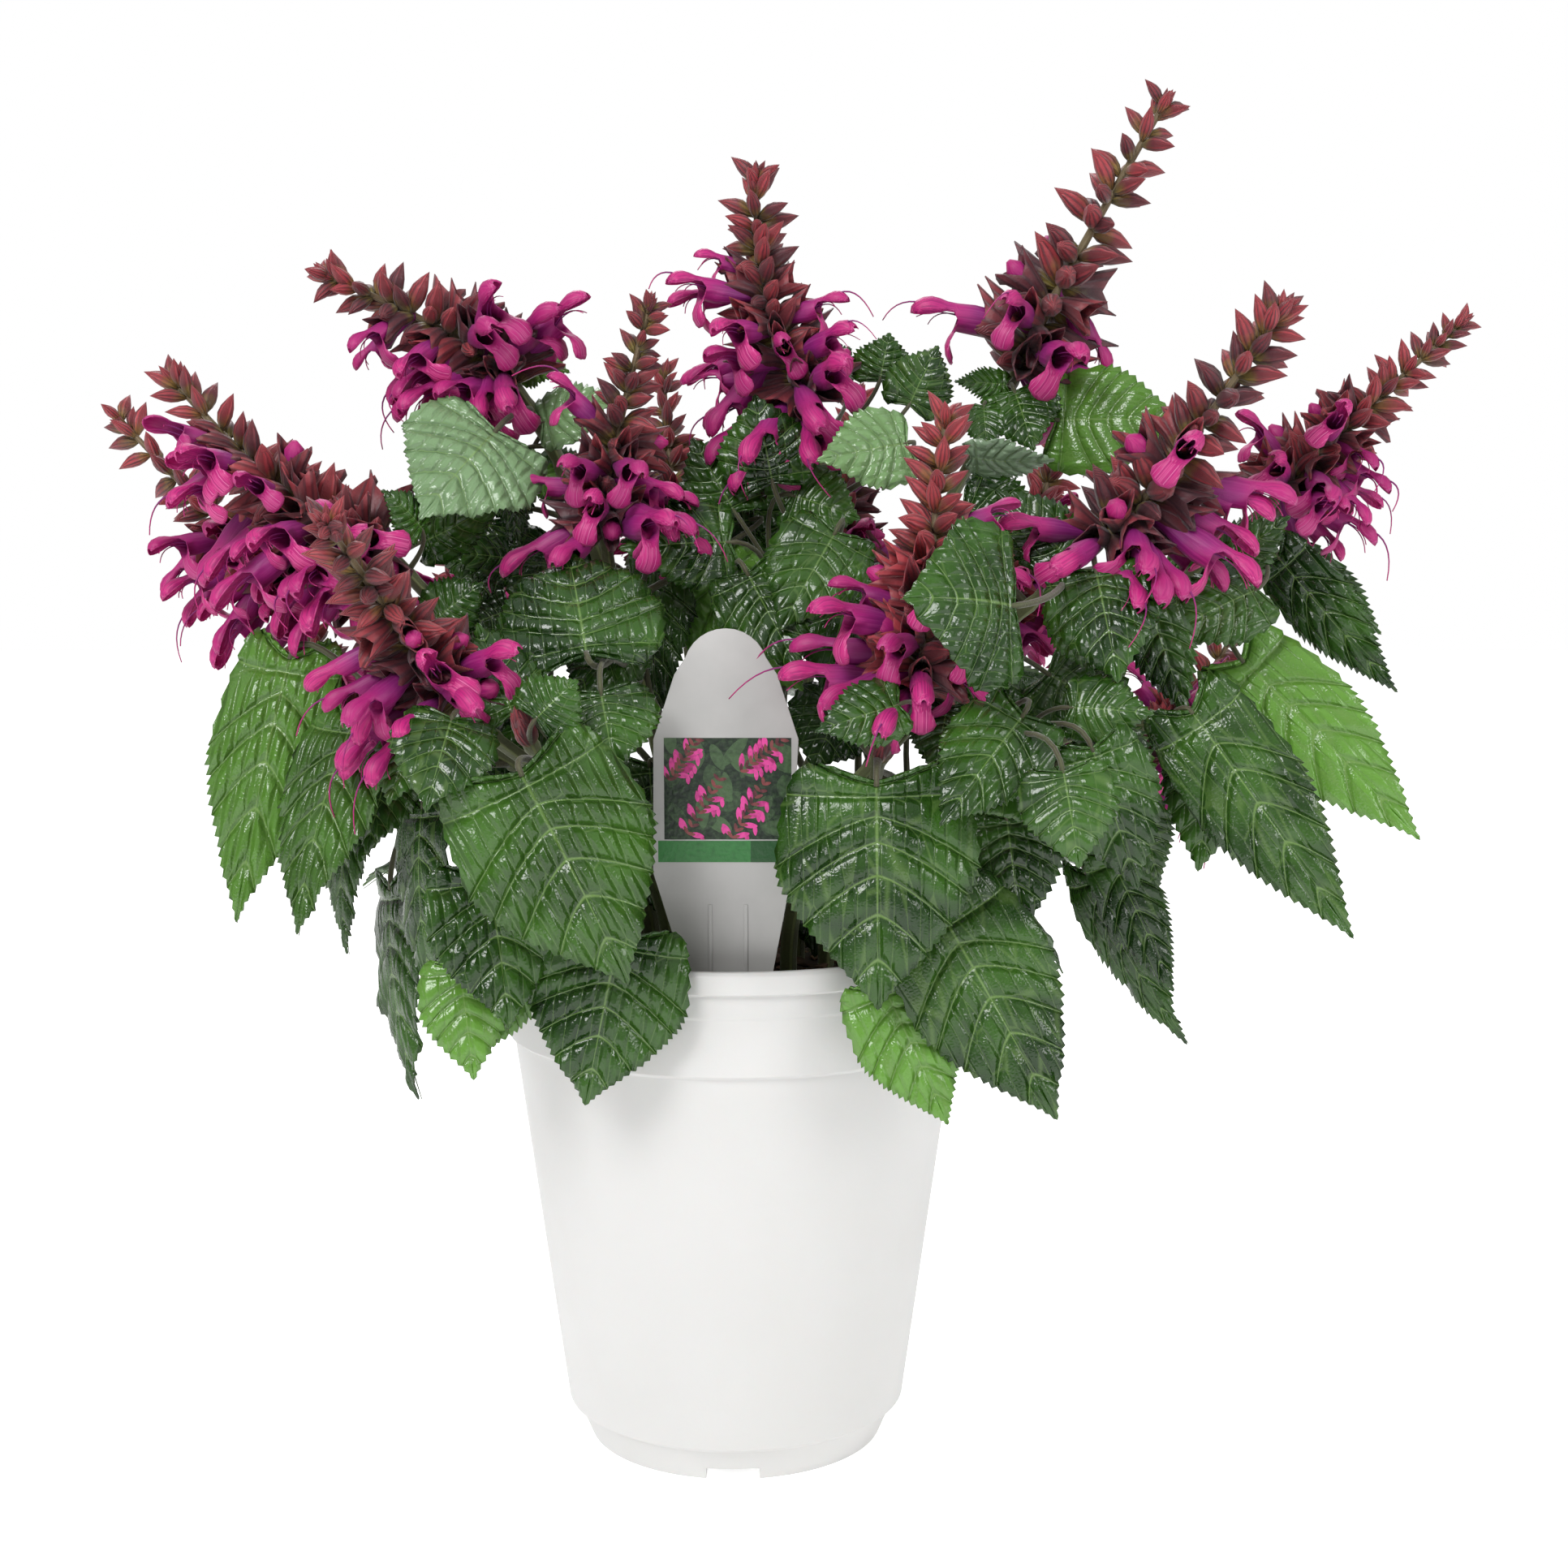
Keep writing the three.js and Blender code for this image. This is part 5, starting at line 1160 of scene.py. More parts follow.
def flower_template():
    """An open flower, in millimetres along z: a tube, a hood that goes on ahead and a hanging lip."""
    made = tube_template("flower", 12, 4, capped=False)
    points = points_of(made)
    z = points[:, 2].copy()
    radius = np.interp(z, [0, 0.3, 0.6, 0.85, 1], [1.1, 1.9, 3.2, 3.7, 3.4])
    points[:, 0] *= radius * 0.8
    points[:, 1] *= radius
    points[:, 2] = TUBE_FOOT + TUBE_LENGTH * z
    set_points(made, points)
    mouth = points[:, 2].max()
    for side, rows, shape in ((1, HOOD_ROWS, hood_point), (-1, LIP_ROWS, lip_point)):
        points = points_of(made)
        at_mouth = np.abs(points[:, 2] - mouth) < 0.01
        rim = [(a, b) for a, b in (edge.key for edge in made.data.edges) if at_mouth[a] and at_mouth[b]]
        half = {(a, b) for a, b in rim if side * (points[a, 1] + points[b, 1]) > 0}
        extrude_rows(made, half, rows, shape)
    points = points_of(made)
    share = np.clip((points[:, 2] - TUBE_FOOT) / 30, 0, 1)
    is_lip = smooth(-2.9, -5.0, points[:, 1]) * (points[:, 2] > 20.0)
    rims = {v for key in open_edges(made) for v in key}
    # The open rims of hood and lip are marked for a painted highlight, a paler edge.
    painted_rim_highlight = np.array([v in rims for v in range(len(points))]) * (points[:, 2] > 21)
    around = np.arctan2(points[:, 1], points[:, 0]) / (2 * math.pi)
    column = np.where(points[:, 2] > 20.6, points[:, 0] * 0.09, around)
    chart = np.stack([column, share + 0.45 * is_lip, np.maximum(is_lip * 0.8, painted_rim_highlight)], axis=1)
    set_values(made, "chart", "FLOAT_VECTOR", chart)
    set_values(made, "tone", "FLOAT", np.full(len(points), 0.6))
    shade_smooth(made)
    thicken(made, 0.22)
    return made


def spindle_template(name, shares, radii):
    """A closed spindle from z 0 to z 1 whose radius follows the given shares of its length."""
    made = tube_template(name, SPINDLE_SIDES, SPINDLE_CUTS)
    points = points_of(made)
    radius = np.interp(points[:, 2], shares, radii)
    points[:, 0] *= radius
    points[:, 1] *= radius
    set_points(made, points)
    merge_doubles(made, 0.01)
    face_outwards(made)
    return made


def bloom_templates():
    return {
        "shut": shut_calyx_template(),
        "open": open_calyx_template(),
        "flower": flower_template(),
        "knob": spindle_template("knob", [0, 0.3, 0.7, 0.9, 1], [0.1, 0.16, 0.24, 0.2, 0.06]),
        "thread": tube_template("thread", 4, 7),
        "rachis": tube_template("rachis", 12, 24),
    }


def placed(template, root, out, up, scale, tone):
    """A copy of the template at its root, with its z along out, its y along up and its tone."""
    points = points_of(template) * scale
    side = np.cross(up, out)
    return copy_of(template, root + points[:, :1] * side + points[:, 1:2] * up + points[:, 2:3] * out, tone)


def spike_table(shoots):
    """Every spike: its axis, size, redness and open flowers."""
    spikes = {}
    for name, row in SPIKES.items():
        spikes[name] = {**SPIKE_DEFAULTS, **row, "stem": "stem_" + name[6:], "tip": seen(*row["tip"])}
        spikes[name]["step"] *= row["size"]
    for number, row in enumerate(BACK_SHOOTS, 1):
        spikes[f"spike_back_{number}"] = {
            **SPIKE_DEFAULTS, "stem": f"stem_back_{number}",
            "size": 0.95, "red": 0.5, "step": 4.4, "taper": 0.5, "spread": 180,
            "tip": polar(row["turn"], row["tip_reach"], row["tip_height"]),
            "flowers": [(at, (clock + row["turn"]) % 360) for at, clock in BACK_FLOWERS]}
    for spike in spikes.values():
        controls = shoots[spike["stem"]]["controls"]
        start = heading(controls, [1.0])[0]
        base = controls[-1] + start * GAP
        bend = base + start * 0.25 * np.linalg.norm(spike["tip"] - base)
        bend = bend + RIGHT * spike["bow"][0] + UP * spike["bow"][1]
        spike["axis"] = [base, bend, spike["tip"]]
        spike["front"] = 270 + 45 * max(-1.0, min(1.0, (spike["tip"][0] - base[0]) / 30))
    return spikes


def spoke(along, clock):
    right = square_to(RIGHT, along)
    front = np.cross(right, along)
    angle = math.radians(clock)
    return right * math.cos(angle) - front * math.sin(angle)


def clock_gap(a, b):
    return abs((a - b + 540) % 360 - 180)


# How deep a flower sits in its calyx, in millimetres: one that is listed, or one that opens by chance.
INSETS = {"flower": [0, 0, 0, 1.5, 3.5], "late": [3, 5, 7, 9]}

# The share of flowers whose long style hangs out.
STYLE_SHARE = 0.25


def make_thread(template, path, radius, thinning, side):
    """A stamen or style along its path, thinner towards the tip."""
    return copy_of(template, along_curve(template, path, lambda s: radius - thinning * s, side), 1.0)


def make_floret(kit, spike, t, clock, length, rise, kind, luck):
    """One floret of a whorl: a calyx, shut, opened or with its flower."""
    along = heading(spike["axis"], [t])[0]
    root = bezier(spike["axis"], [t])[0]
    flat = spoke(along, clock)
    out = flat * math.cos(rise) + along * math.sin(rise)
    out = unit(out + np.array([luck.uniform(-0.16, 0.16) for _ in range(3)]))
    up = square_to(along, out)
    root = root + out * 0.6
    red = spike["red"] * 0.75 + 0.35 * t + luck.uniform(-0.35, 0.35)
    if kind == "shut":
        return [placed(kit["shut"], root, out, up, length, red + 0.1)], []
    calyxes = [placed(kit["open"], root, out, up, length, red - 0.2)]
    if kind == "open":
        return calyxes, []
    if kind == "knob":
        root = root + out * length * 0.3
        return calyxes, [placed(kit["knob"], root, out, up, length * 0.8, luck.uniform(0.2, 0.7))]
    scale = length / CALYX_LENGTH * luck.uniform(0.86, 1.02)
    droop = unit(out - up * luck.uniform(-0.1, 0.15) - UP * luck.uniform(0.0, 0.45))
    root = root - droop * luck.choice(INSETS[kind]) * scale
    lift = turned(square_to(up, droop), droop, luck.uniform(-18, 18))
    petals = [placed(kit["flower"], root, droop, lift, scale, luck.uniform(0.35, 0.9))]
    for side in (-0.6, 0.6):
        cross = np.cross(lift, droop)
        reach, drop = luck.uniform(27, 31), luck.uniform(0.5, 3.5)
        path = [root + droop * 18 * scale + cross * side,
                root + droop * 26 * scale + lift * 2.2 + cross * side,
                root + droop * reach * scale - lift * drop + cross * side * 2]
        petals.append(make_thread(kit["thread"], path, 0.17, 0.05, cross))
    if luck.random() < STYLE_SHARE:
        reach, drop = luck.uniform(36, 44), luck.uniform(2, 7)
        path = [root + droop * 27 * scale + lift * 2,
                root + droop * 36 * scale + lift * 4,
                root + droop * reach * scale - lift * drop]
        petals.append(make_thread(kit["thread"], path, 0.24, 0.1, lift))
    return calyxes, petals


def florets_of(spike, full, luck):
    """The florets of a spike, one after the other: place, clock angle, length, lift and kind."""
    whorls = max(LEAST_WHORLS, int(np.linalg.norm(spike["axis"][2] - spike["axis"][0]) / spike["step"]))
    flowers = list(spike["flowers"])
    for whorl in range(whorls):
        share = whorl / (whorls - 1)
        t = 0.03 + 0.93 * (1 - (1 - share) ** 1.15)
        length = full * (1 - spike["taper"] * t ** 1.7)
        count = 7 if t < 0.55 else 6 if t < 0.78 else spike["crown"]
        shift = luck.uniform(0, 60)
        for k in range(count):
            clock = shift + k * 360 / count + luck.uniform(-12, 12)
            rise = math.radians(spike["rise"] + 24 * t + 24 * t ** 8 + luck.uniform(-17, 17))
            reach = 0.6 / whorls + 0.02
            near = [f for f in flowers if abs(f[0] - t) < reach and clock_gap(f[1], clock) < 36]
            at_front = clock_gap(clock, spike["front"]) < spike["spread"]
            kind = "shut"
            if near:
                flowers.remove(near[0])
                kind = "flower"
                clock = near[0][1] + luck.uniform(-6, 6)
            elif at_front and luck.random() < spike["bloom"] * (1 - t / 0.64):
                kind = "late"
            elif t < 0.6 and luck.random() < 0.55 - 0.5 * t:
                kind = "open" if luck.random() < 0.72 else "knob"
            grown = length * luck.uniform(0.82, 1.08)
            yield t + luck.uniform(-0.25, 0.25) / whorls, clock, grown, rise, kind
    for k in range(2 * spike["crown"] - 3):
        rise = math.radians(52 + 4 * k)
        yield 0.945 + 0.006 * k, GOLDEN_ANGLE * k, length * (0.75 - 0.03 * k), rise, "shut"


class SALVIA_OT_spikes(bpy.types.Operator):
    """Model every flower spike with its whorls of calyxes and its open flowers"""
    bl_idname = "salvia.spikes"
    bl_label = "Flower Spikes"

    def execute(self, context):
        settings = context.scene.salvia_bloom
        outer = calyx_material("Calyx skin", settings)
        inner = calyx_material("Calyx lining", settings, lining=True)
        petal = petal_material("Petal", settings)
        rachis = stem_material("Rachis skin", (0.09, 0.03, 0.03), (0.16, 0.13, 0.04), (0.25, 0.2, 0.12))
        slots = [outer, inner, petal, rachis]
        kit = bloom_templates()
        luck = random.Random(77)
        for name, spike in spike_table(shoot_table()).items():
            parts, petals = [], []
            for floret in florets_of(spike, settings.calyx_length * spike["size"], luck):
                made, colored = make_floret(kit, spike, *floret, luck)
                parts += made
                petals += colored
            thick = RACHIS_RADIUS * spike["size"]
            stalk = copy_of(kit["rachis"], along_curve(
                kit["rachis"], spike["axis"], lambda s: thick * (1 - 0.5 * s), RIGHT), 0.5)
            for part in parts:
                for material in slots:
                    part.data.materials.append(material)
            for part in petals:
                set_slots(part, slots, 2)
            set_slots(stalk, slots, 3)
            piece = joined(f"blooming_{name}", [stalk] + parts + petals)
            to_metres(piece)
            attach(piece, "root")
            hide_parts(name)
        drop_templates(kit)
        return {"FINISHED"}


# Pot, soil and tag.

POT_PROFILE = [
    (36.0, 0.0), (39.4, 8.0), (41.5, 9.3), (54.0, 100.3), (55.3, 101.1), (55.3, 114.0), (55.6, 114.6),
    (55.6, 119.5), (57.0, 120.0), (57.0, 124.2), (56.2, 125.0), (54.6, 125.0), (52.4, 100.3), (37.8, 7.0),
]
POT_SIDES = 96

# Notches and drain holes in the foot of the pot, in metres.
NOTCH_COUNT = 3
NOTCH_SIZE = (0.0125, 0.009, 0.008)
NOTCH_REACH = 0.0335
NOTCH_HEIGHT = -0.001
HOLE_SIDES = 24
HOLE_RADIUS = 0.0026
HOLE_DEPTH = 0.03
HOLE_REACH = 0.03
HOLE_HEIGHT = 0.005


class SalviaPotSettings(bpy.types.PropertyGroup):
    """Sizes and colours of the pot."""
    edge: number_property("Edge", "Rounding of the pot's edges, in millimetres", 0.35)
    wall_color: color_property("Plastic", "Colour of the pot", (0.71, 0.705, 0.695))


def extrude_ring(obj, lift, scale, height):
    """Extrudes the open rim straight up by lift, then widens it by scale about the pot's axis."""
    choose_edges(obj, open_edges(obj))
    bpy.ops.object.mode_set(mode="EDIT")
    bpy.ops.mesh.extrude_edges_move()
    bpy.ops.transform.translate(value=(0, 0, lift))
    bpy.ops.transform.resize(value=(scale, scale, 1), center_override=(0, 0, height))
    bpy.ops.object.mode_set(mode="OBJECT")


class SALVIA_OT_pot(bpy.types.Operator):
    """Model the pot with its recessed rim and its notched foot"""
    bl_idname = "salvia.pot"
    bl_label = "Nursery Pot"

    def execute(self, context):
        settings = context.scene.salvia_pot
        deselect()
        bpy.ops.mesh.primitive_circle_add(vertices=POT_SIDES, radius=POT_PROFILE[0][0] * MM, fill_type="NGON")
        pot = bpy.context.object
        pot.name = "nursery_pot"
        edit_by_edges()
        for (near, z), (far, next_z) in zip(POT_PROFILE, POT_PROFILE[1:]):
            extrude_ring(pot, (next_z - z) * MM, far / near, next_z * MM)
        choose_edges(pot, open_edges(pot))
        bpy.ops.object.mode_set(mode="EDIT")
        bpy.ops.mesh.edge_face_add()
        bpy.ops.object.mode_set(mode="OBJECT")
        face_outwards(pot)
        cutters = []
        for k in range(NOTCH_COUNT):
            angle = 2 * math.pi * k / NOTCH_COUNT
            notch = (NOTCH_REACH * math.sin(angle), -NOTCH_REACH * math.cos(angle), NOTCH_HEIGHT)
            hole = (HOLE_REACH * math.sin(angle), -HOLE_REACH * math.cos(angle), HOLE_HEIGHT)
            deselect()
            bpy.ops.mesh.primitive_cube_add(size=1, scale=NOTCH_SIZE, rotation=(0, 0, angle), location=notch)
            cutters.append(bpy.context.object)
            deselect()
            bpy.ops.mesh.primitive_cylinder_add(vertices=HOLE_SIDES, radius=HOLE_RADIUS, depth=HOLE_DEPTH,
                                                location=hole)
            cutters.append(bpy.context.object)
        tool = joined("notches", cutters)
        cut = pot.modifiers.new("Notches", "BOOLEAN")
        cut.object = tool
        cut.solver = "EXACT"
        cut.use_self = True
        cut.operation = "DIFFERENCE"
        round_edges(pot, settings.edge, 25)
        bpy.data.objects.remove(tool)
        shade_smooth(pot, 35)
        pot.data.materials.append(pot_material(settings))
        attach(pot, "root")
        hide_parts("pot")
        return {"FINISHED"}


class SalviaSoilSettings(bpy.types.PropertyGroup):
    """Sizes and colours of the soil."""
    chips: IntProperty(name="Chips", description="Bark chips on the soil", default=520, min=0)
    soil_color: color_property("Soil", "Colour of the peat", (0.018, 0.012, 0.008))
    chip_color: color_property("Chip", "Colour of a pale bark chip", (0.16, 0.085, 0.045))


SOIL_RADIUS = 53.4
SOIL_BOTTOM = 8.0
SOIL_GRID = 72
SOIL_FOOT_SHARE = 0.7
CHIP_MARGIN = 3


def lumpy(x, y):
    """The soil's height above its edge: a low crown with crumbs of several sizes."""
    crown = 1.6 * (1 - np.hypot(x, y) / SOIL_RADIUS)
    rough = 0.7 * np.sin(0.31 * x + 1.7) * np.cos(0.37 * y) + 0.5 * np.sin(0.83 * x - 0.61 * y)
    fine = 0.4 * np.sin(1.9 * x + 2.3 * y) * np.sin(2.1 * y - 1.3 * x)
    return crown + rough * 0.7 + fine


class SALVIA_OT_soil(bpy.types.Operator):
    """Model the soil with its crumbly top and its bark chips"""
    bl_idname = "salvia.soil"
    bl_label = "Potting Soil"

    def execute(self, context):
        settings = context.scene.salvia_soil
        deselect()
        bpy.ops.mesh.primitive_grid_add(x_subdivisions=SOIL_GRID, y_subdivisions=SOIL_GRID, size=2)
        soil = bpy.context.object
        grid = points_of(soil)
        x = grid[:, 0] * np.sqrt(1 - grid[:, 1] ** 2 / 2) * SOIL_RADIUS
        y = grid[:, 1] * np.sqrt(1 - grid[:, 0] ** 2 / 2) * SOIL_RADIUS
        height = SOIL_TOP + lumpy(x, y)
        set_points(soil, np.stack([x, y, height], axis=1))
        edit_by_edges()
        choose_edges(soil, open_edges(soil))
        bpy.ops.object.mode_set(mode="EDIT")
        bpy.ops.mesh.extrude_edges_move()
        bpy.ops.transform.translate(value=(0, 0, SOIL_BOTTOM - SOIL_TOP))
        foot = (SOIL_FOOT_SHARE, SOIL_FOOT_SHARE, 0)
        bpy.ops.transform.resize(value=foot, center_override=(0, 0, SOIL_BOTTOM))
        bpy.ops.mesh.edge_face_add()
        bpy.ops.object.mode_set(mode="OBJECT")
        face_outwards(soil)
        shade_smooth(soil, 60)
        set_values(soil, "tone", "FLOAT", np.full(len(soil.data.vertices), 0.2))
        peat = plain_material("Peat", settings.soil_color, (0.07, 0.042, 0.026), 0.95, 320.0, 0.0008)
        bark = plain_material("Bark", (0.03, 0.018, 0.012), settings.chip_color, 0.85, 240.0, 0.0005)
        set_slots(soil, [peat, bark], 0)
        deselect()
        bpy.ops.mesh.primitive_ico_sphere_add(subdivisions=1, radius=1)
        chip = bpy.context.object
        set_values(chip, "tone", "FLOAT", np.full(len(chip.data.vertices), 0.5))
        set_slots(chip, [peat, bark], 1)
        luck = random.Random(9)
        chips = []
        shape = points_of(chip)
        for _ in range(settings.chips):
            reach = (SOIL_RADIUS - CHIP_MARGIN) * math.sqrt(luck.random())
            spot = polar(luck.uniform(0, 360), reach, 0)
            size = luck.uniform(0.7, 2.6) * luck.choice([0.6, 1.0, 1.2])
            stretch = np.array([size * luck.uniform(1, 1.9), size, size * luck.uniform(0.3, 0.6)])
            jitter = np.array([luck.uniform(0.75, 1.25) for _ in shape])[:, None]
            lump = shape * jitter * stretch
            spin, tip = luck.uniform(0, 2 * math.pi), luck.uniform(-0.5, 0.5)
            lump[:, 2] += lump[:, 0] * tip
            turned_x = lump[:, 0] * math.cos(spin) - lump[:, 1] * math.sin(spin)
            turned_y = lump[:, 0] * math.sin(spin) + lump[:, 1] * math.cos(spin)
            ground = SOIL_TOP + lumpy(spot[0], spot[1]) + 0.2 * size
            laid = np.stack([turned_x + spot[0], turned_y + spot[1], lump[:, 2] + ground], axis=1)
            chips.append(copy_of(chip, laid, luck.random() ** 2))
        drop_templates({"chip": chip})
        piece = joined("potting_soil", [soil] + chips)
        to_metres(piece)
        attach(piece, "root")
        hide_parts("soil")
        return {"FINISHED"}


class SalviaTagSettings(bpy.types.PropertyGroup):
    """Sizes and colours of the plant tag."""
    thickness: number_property("Thickness", "Thickness of the card, in millimetres", 0.8)
    card_color: color_property("Card", "White of the card", (0.52, 0.51, 0.5))


# The tag's outline and its printed fields by their places in the picture.
TAG_TOP = (894, 773)
TAG_SHOULDERS = ((805, 911), (984, 911))
TAG_SIDE_ENDS = ((805, 1075), (974, 1086))
TAG_RIBS = (894, 1160)
PICTURE_TOP = (818, 909)
PICTURE_LOW = (975, 1034)
BAND_SPLIT = (925, 1062)

# The tag's arc, edges, ribs and films, in millimetres.
TAG_ARC = 9.5
CARD_EDGE = 0.12
RIB_SIZE = (0.9, 0.6, 17)
RIB_SHIFTS = (-3.4, 4.6)
PRINT_LIFT = 0.03
PRINT_DEPTH = 0.05
PRINT_LEAVES = 34
BLOSSOM_STEPS = 9
BLOSSOM_STEMS = [((-9, -10), (-2, 2)), ((1, -11), (8, 1)), ((-13, 2), (-7, 11)), ((3, 4), (12, 11))]


def on_tag(spot):
    """The x and z of a picture point on the tag's plane."""
    return seen(*spot, TAG_DEPTH)[[0, 2]]


def leaf_shape(spot, turn, length, wide):
    """The outline of a small pointed shape, in the order that faces it to the front."""
    rows = []
    for step in range(14):
        angle = 2 * math.pi * step / 14
        along = length / 2 * math.cos(angle)
        across = wide / 2 * math.sin(angle) * (0.75 + 0.25 * math.sin(angle) ** 2)
        rows.append((spot[0] + along * math.cos(turn) - across * math.sin(turn),
                     spot[1] + along * math.sin(turn) + across * math.cos(turn)))
    return rows


def printed(rows, field, layer, face, tone):
    """A printed shape: a film on the tag's face, cut off at the edges of its field."""
    left, right, low, high = field
    depth = TAG_DEPTH - face - PRINT_LIFT * (layer + 0.8 * tone)
    points = [(min(max(x, left), right), depth, min(max(z, low), high)) for x, z in rows]
    mesh = bpy.data.meshes.new("print")
    mesh.from_pydata(points, [], [list(range(len(points)))])
    made = bpy.data.objects.new("print", mesh)
    bpy.context.scene.collection.objects.link(made)
    set_values(made, "tone", "FLOAT", np.full(len(points), tone))
    return made


def rectangle(field):
    left, right, low, high = field
    return [(left, low), (right, low), (right, high), (left, high)]


def tag_print(face):
    """The tag's picture, blossoms over leaves, and its green band, by kind of ink."""
    left, top = on_tag(PICTURE_TOP)
    right, low = on_tag(PICTURE_LOW)
    split, band_low = on_tag(BAND_SPLIT)
    field = (left, right, low, top)
    middle = ((left + right) / 2, (low + top) / 2)
    luck = random.Random(5)
    leaves = [printed(rectangle(field), field, 0, face, 0.0)]
    for _ in range(PRINT_LEAVES):
        spot = (luck.uniform(left, right), luck.uniform(low, top))
        shape = leaf_shape(spot, luck.uniform(0, math.pi), luck.uniform(5, 9), luck.uniform(2.5, 4.5))
        leaves.append(printed(shape, field, 1 + luck.randrange(2), face, luck.uniform(0.1, 1)))
    petals, calyxes = [], []
    for start, end in BLOSSOM_STEMS:
        for step in range(BLOSSOM_STEPS):
            share = step / (BLOSSOM_STEPS - 1)
            spot = (middle[0] + start[0] + (end[0] - start[0]) * share,
                    middle[1] + start[1] + (end[1] - start[1]) * share)
            heading_up = math.atan2(end[1] - start[1], end[0] - start[0])
            for side in (-1, 1):
                turn = heading_up + side * luck.uniform(0.6, 1.3)
                bract = (spot[0] + 0.8 * math.cos(turn), spot[1] + 0.8 * math.sin(turn))
                calyxes.append(printed(leaf_shape(bract, turn, 2.0, 0.8), field, 4, face, luck.random()))
                if share < 0.75 and luck.random() < 0.8:
                    away = (spot[0] + 2.2 * math.cos(turn), spot[1] + 2.2 * math.sin(turn))
                    hood = leaf_shape(away, turn, luck.uniform(2.8, 3.8), 1.3)
                    petals.append(printed(hood, field, 3, face, luck.random()))
                    low_spot = (away[0] + 1.2 * math.cos(turn), away[1] + 1.2 * math.sin(turn) - 0.9)
                    lip = leaf_shape(low_spot, -1.5, luck.uniform(1.8, 2.6), 1.0)
                    petals.append(printed(lip, field, 3, face, luck.uniform(0.4, 1)))
    band = (left - 1.4, right + 0.4, band_low, low - 0.3)
    bands = [printed(rectangle((band[0], split, band[2], band[3])), band, 1, face, 0.0),
             printed(rectangle((split, band[1], band[2], band[3])), band, 1, face, 1.0)]
    return [leaves, petals, calyxes, bands]


def tag_outline():
    """The tag's outline from its foot round to its arched top, in millimetres on its plane."""
    top = on_tag(TAG_TOP)
    left, right = (tuple(on_tag(spot)) for spot in TAG_SHOULDERS)
    low_left, low_right = (tuple(on_tag(spot)) for spot in TAG_SIDE_ENDS)
    points = [(top[0] - 6.5, TAG_FOOT), (top[0] + 7, TAG_FOOT), (top[0] + 10.2, SOIL_TOP + 4),
              low_right, right, (top[0] + TAG_ARC + 2, top[1] - 10.5)]
    for step in range(13):
        angle = math.pi * (0.1 + 0.8 * step / 12)
        across, up = TAG_ARC * math.cos(angle), TAG_ARC * math.sin(angle)
        points.append((top[0] + across, top[1] - TAG_ARC - 0.2 + up))
    return points + [(top[0] - TAG_ARC - 2, top[1] - 10.5), left, low_left, (top[0] - 9, SOIL_TOP + 4)]


class SALVIA_OT_tag(bpy.types.Operator):
    """Model the plant tag with its arched top and two ribs on its foot"""
    bl_idname = "salvia.tag"
    bl_label = "Plant Tag"

    def execute(self, context):
        settings = context.scene.salvia_tag
        outline = tag_outline()
        mesh = bpy.data.meshes.new("tag")
        back = (TAG_DEPTH + settings.thickness / 2) * MM
        mesh.from_pydata([(x * MM, back, z * MM) for x, z in outline], [], [list(range(len(outline)))])
        tag = bpy.data.objects.new("tag", mesh)
        context.scene.collection.objects.link(tag)
        pick(tag)
        bpy.ops.object.mode_set(mode="EDIT")
        bpy.ops.mesh.select_all(action="SELECT")
        bpy.ops.mesh.extrude_region_move(TRANSFORM_OT_translate={"value": (0, -settings.thickness * MM, 0)})
        bpy.ops.object.mode_set(mode="OBJECT")
        face_outwards(tag)
        parts = [tag]
        x, z = on_tag(TAG_RIBS)
        for shift in RIB_SHIFTS:
            deselect()
            place = ((x + shift) * MM, (TAG_DEPTH - 0.5) * MM, z * MM)
            bpy.ops.mesh.primitive_cube_add(size=1, scale=[side * MM for side in RIB_SIZE], location=place)
            bpy.ops.object.transform_apply(location=True, rotation=True, scale=True)
            parts.append(bpy.context.object)
        card = joined("card", parts)
        round_edges(card, CARD_EDGE, 30)
        shade_smooth(card, 30)
        inks = [card_material(settings),
                plain_material("Printed leaf", (0.008, 0.018, 0.01), (0.07, 0.13, 0.055), 0.3, 900.0),
                plain_material("Printed petal", (0.34, 0.012, 0.13), (0.8, 0.07, 0.36), 0.3, 900.0),
                plain_material("Printed calyx", (0.06, 0.012, 0.02), (0.25, 0.06, 0.06), 0.3, 900.0),
                plain_material("Printed band", (0.04, 0.2, 0.05), (0.015, 0.08, 0.02), 0.3, 900.0)]
        set_slots(card, inks, 0)
        films = []
        for number, group in enumerate(tag_print(settings.thickness / 2), 1):
            film = joined("film", group)
            thicken(film, PRINT_DEPTH)
            to_metres(film)
            set_slots(film, inks, number)
            films.append(film)
        piece = joined("printed_plant_tag", [card] + films)
        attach(piece, "root")
        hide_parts("plant_tag")
        return {"FINISHED"}


# Stage.

LAMP_AIM = (0, 0, 0.17)


class SalviaStageSettings(bpy.types.PropertyGroup):
    """The floor, the lights and the camera."""
    floor: number_property("Floor", "Width of the floor", 8.0, unit="LENGTH")
    key: number_property("Key light", "Power of the key light, in watts", 10.6)
    fill: number_property("Fill light", "Power of the fill light, in watts", 3.9)
    back: number_property("Back light", "Power of the light from behind, in watts", 5.0)
    wall: number_property("Wall", "Strength of the light from low all round", 0.34)
    ceiling: number_property("Ceiling", "Strength of the light from above", 0.55)
    backdrop: number_property("Backdrop", "Brightness of the backdrop in a picture", 1.0)
    glow: number_property("Glow", "Light that the floor itself gives", 0.3)
    paper: number_property("Paper", "Extra brightness of the floor in a picture", 0.4)


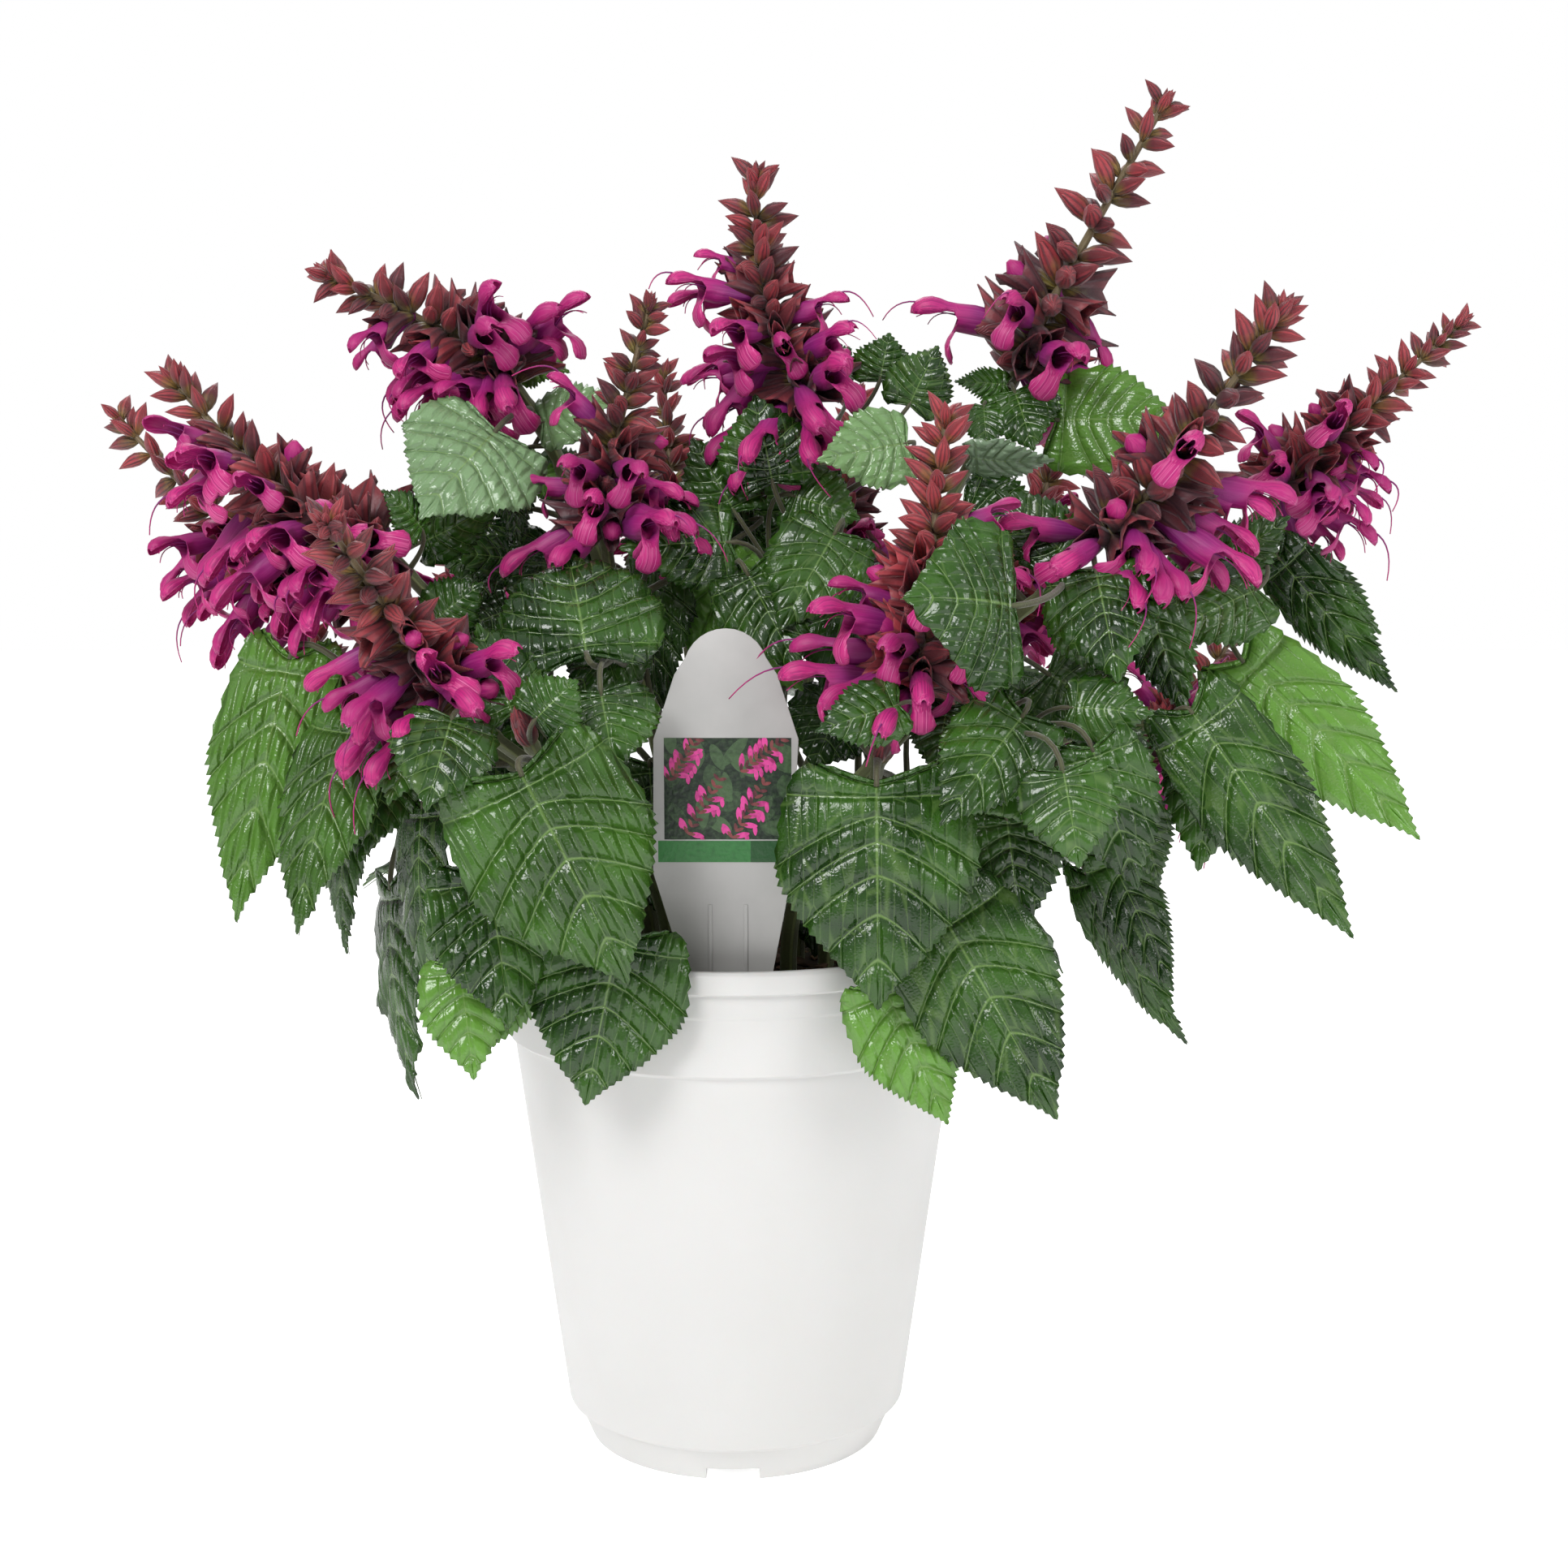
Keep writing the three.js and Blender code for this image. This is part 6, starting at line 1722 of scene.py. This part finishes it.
class SALVIA_OT_stage(bpy.types.Operator):
    """Set the pale floor, the soft light and the camera"""
    bl_idname = "salvia.stage"
    bl_label = "Stage"

    def execute(self, context):
        settings = context.scene.salvia_stage
        deselect()
        bpy.ops.mesh.primitive_plane_add(size=settings.floor)
        floor = context.object
        floor.name = "floor"
        material, tree, shader = new_material("Floor")
        shader.inputs["Base Color"].default_value = (0.9, 0.9, 0.9, 1)
        shader.inputs["Roughness"].default_value = 0.7
        shader.inputs["Emission Color"].default_value = (1.0, 1.0, 1.0, 1)
        seen_straight = add(tree, "LightPath").outputs["Is Camera Ray"]
        glow = maths(tree, "MULTIPLY_ADD", seen_straight, settings.paper, settings.glow)
        tree.links.new(glow, shader.inputs["Emission Strength"])
        floor.data.materials.append(material)
        world = bpy.data.worlds.new("Studio")
        world.use_nodes = True
        tree = world.node_tree
        backdrop = tree.nodes["Background"]
        backdrop.inputs["Color"].default_value = (1.0, 1.0, 1.0, 1)
        climb = axes(tree, object_place(tree))["Z"]
        around = span(tree, climb, 0.3, 0.6, settings.wall, settings.ceiling)
        straight = times(tree, add(tree, "LightPath").outputs["Is Camera Ray"], settings.backdrop)
        tree.links.new(maths(tree, "MAXIMUM", around, straight), backdrop.inputs["Strength"])
        context.scene.world = world
        for name, place, power, width in (("key", (-0.5, -0.9, 1.0), settings.key, 0.55),
                                          ("fill", (1.0, -0.6, 0.6), settings.fill, 0.5),
                                          ("back", (-0.2, 0.9, 1.1), settings.back, 0.6)):
            bpy.ops.object.light_add(type="AREA", location=place)
            lamp = context.object
            lamp.name = name
            lamp.data.energy = power
            lamp.data.size = width
            aim = Vector(LAMP_AIM) - Vector(place)
            lamp.rotation_euler = aim.to_track_quat("-Z", "Y").to_euler()
        context.scene.view_settings.view_transform = "Standard"
        camera = bpy.data.cameras.new("Camera")
        camera.sensor_width = SENSOR
        camera.lens = SENSOR * FOCAL / PICTURE
        eye = bpy.data.objects.new("Camera", camera)
        eye.location = EYE * MM
        eye.rotation_euler = (math.pi / 2 - PITCH, 0, 0)
        context.scene.collection.objects.link(eye)
        context.scene.camera = eye
        return {"FINISHED"}


class SALVIA_PT_sidebar(bpy.types.Panel):
    """The pieces of the potted salvia, in the order they are made"""
    bl_label = "Potted Salvia"
    bl_idname = "SALVIA_PT_sidebar"
    bl_space_type = "VIEW_3D"
    bl_region_type = "UI"
    bl_category = "Salvia"

    def draw(self, context):
        for operator in OPERATORS:
            self.layout.operator(operator.bl_idname)


SETTINGS = {
    "salvia_leaf": SalviaLeafSettings,
    "salvia_bloom": SalviaBloomSettings,
    "salvia_pot": SalviaPotSettings,
    "salvia_soil": SalviaSoilSettings,
    "salvia_tag": SalviaTagSettings,
    "salvia_stage": SalviaStageSettings,
}
OPERATORS = [SALVIA_OT_stage, SALVIA_OT_pot, SALVIA_OT_soil, SALVIA_OT_tag, SALVIA_OT_leafy_stems,
             SALVIA_OT_spikes]


def register():
    for group in SETTINGS.values():
        bpy.utils.register_class(group)
    for name, group in SETTINGS.items():
        setattr(bpy.types.Scene, name, PointerProperty(type=group))
    for operator in OPERATORS:
        bpy.utils.register_class(operator)
    bpy.utils.register_class(SALVIA_PT_sidebar)


def unregister():
    bpy.utils.unregister_class(SALVIA_PT_sidebar)
    for operator in reversed(OPERATORS):
        bpy.utils.unregister_class(operator)
    for name in SETTINGS:
        delattr(bpy.types.Scene, name)
    for group in reversed(SETTINGS.values()):
        bpy.utils.unregister_class(group)


def main():
    register()
    bpy.ops.salvia.stage()
    bpy.ops.salvia.pot()
    bpy.ops.salvia.soil()
    bpy.ops.salvia.tag()
    bpy.ops.salvia.leafy_stems()
    bpy.ops.salvia.spikes()


if __name__ == "__main__":
    main()
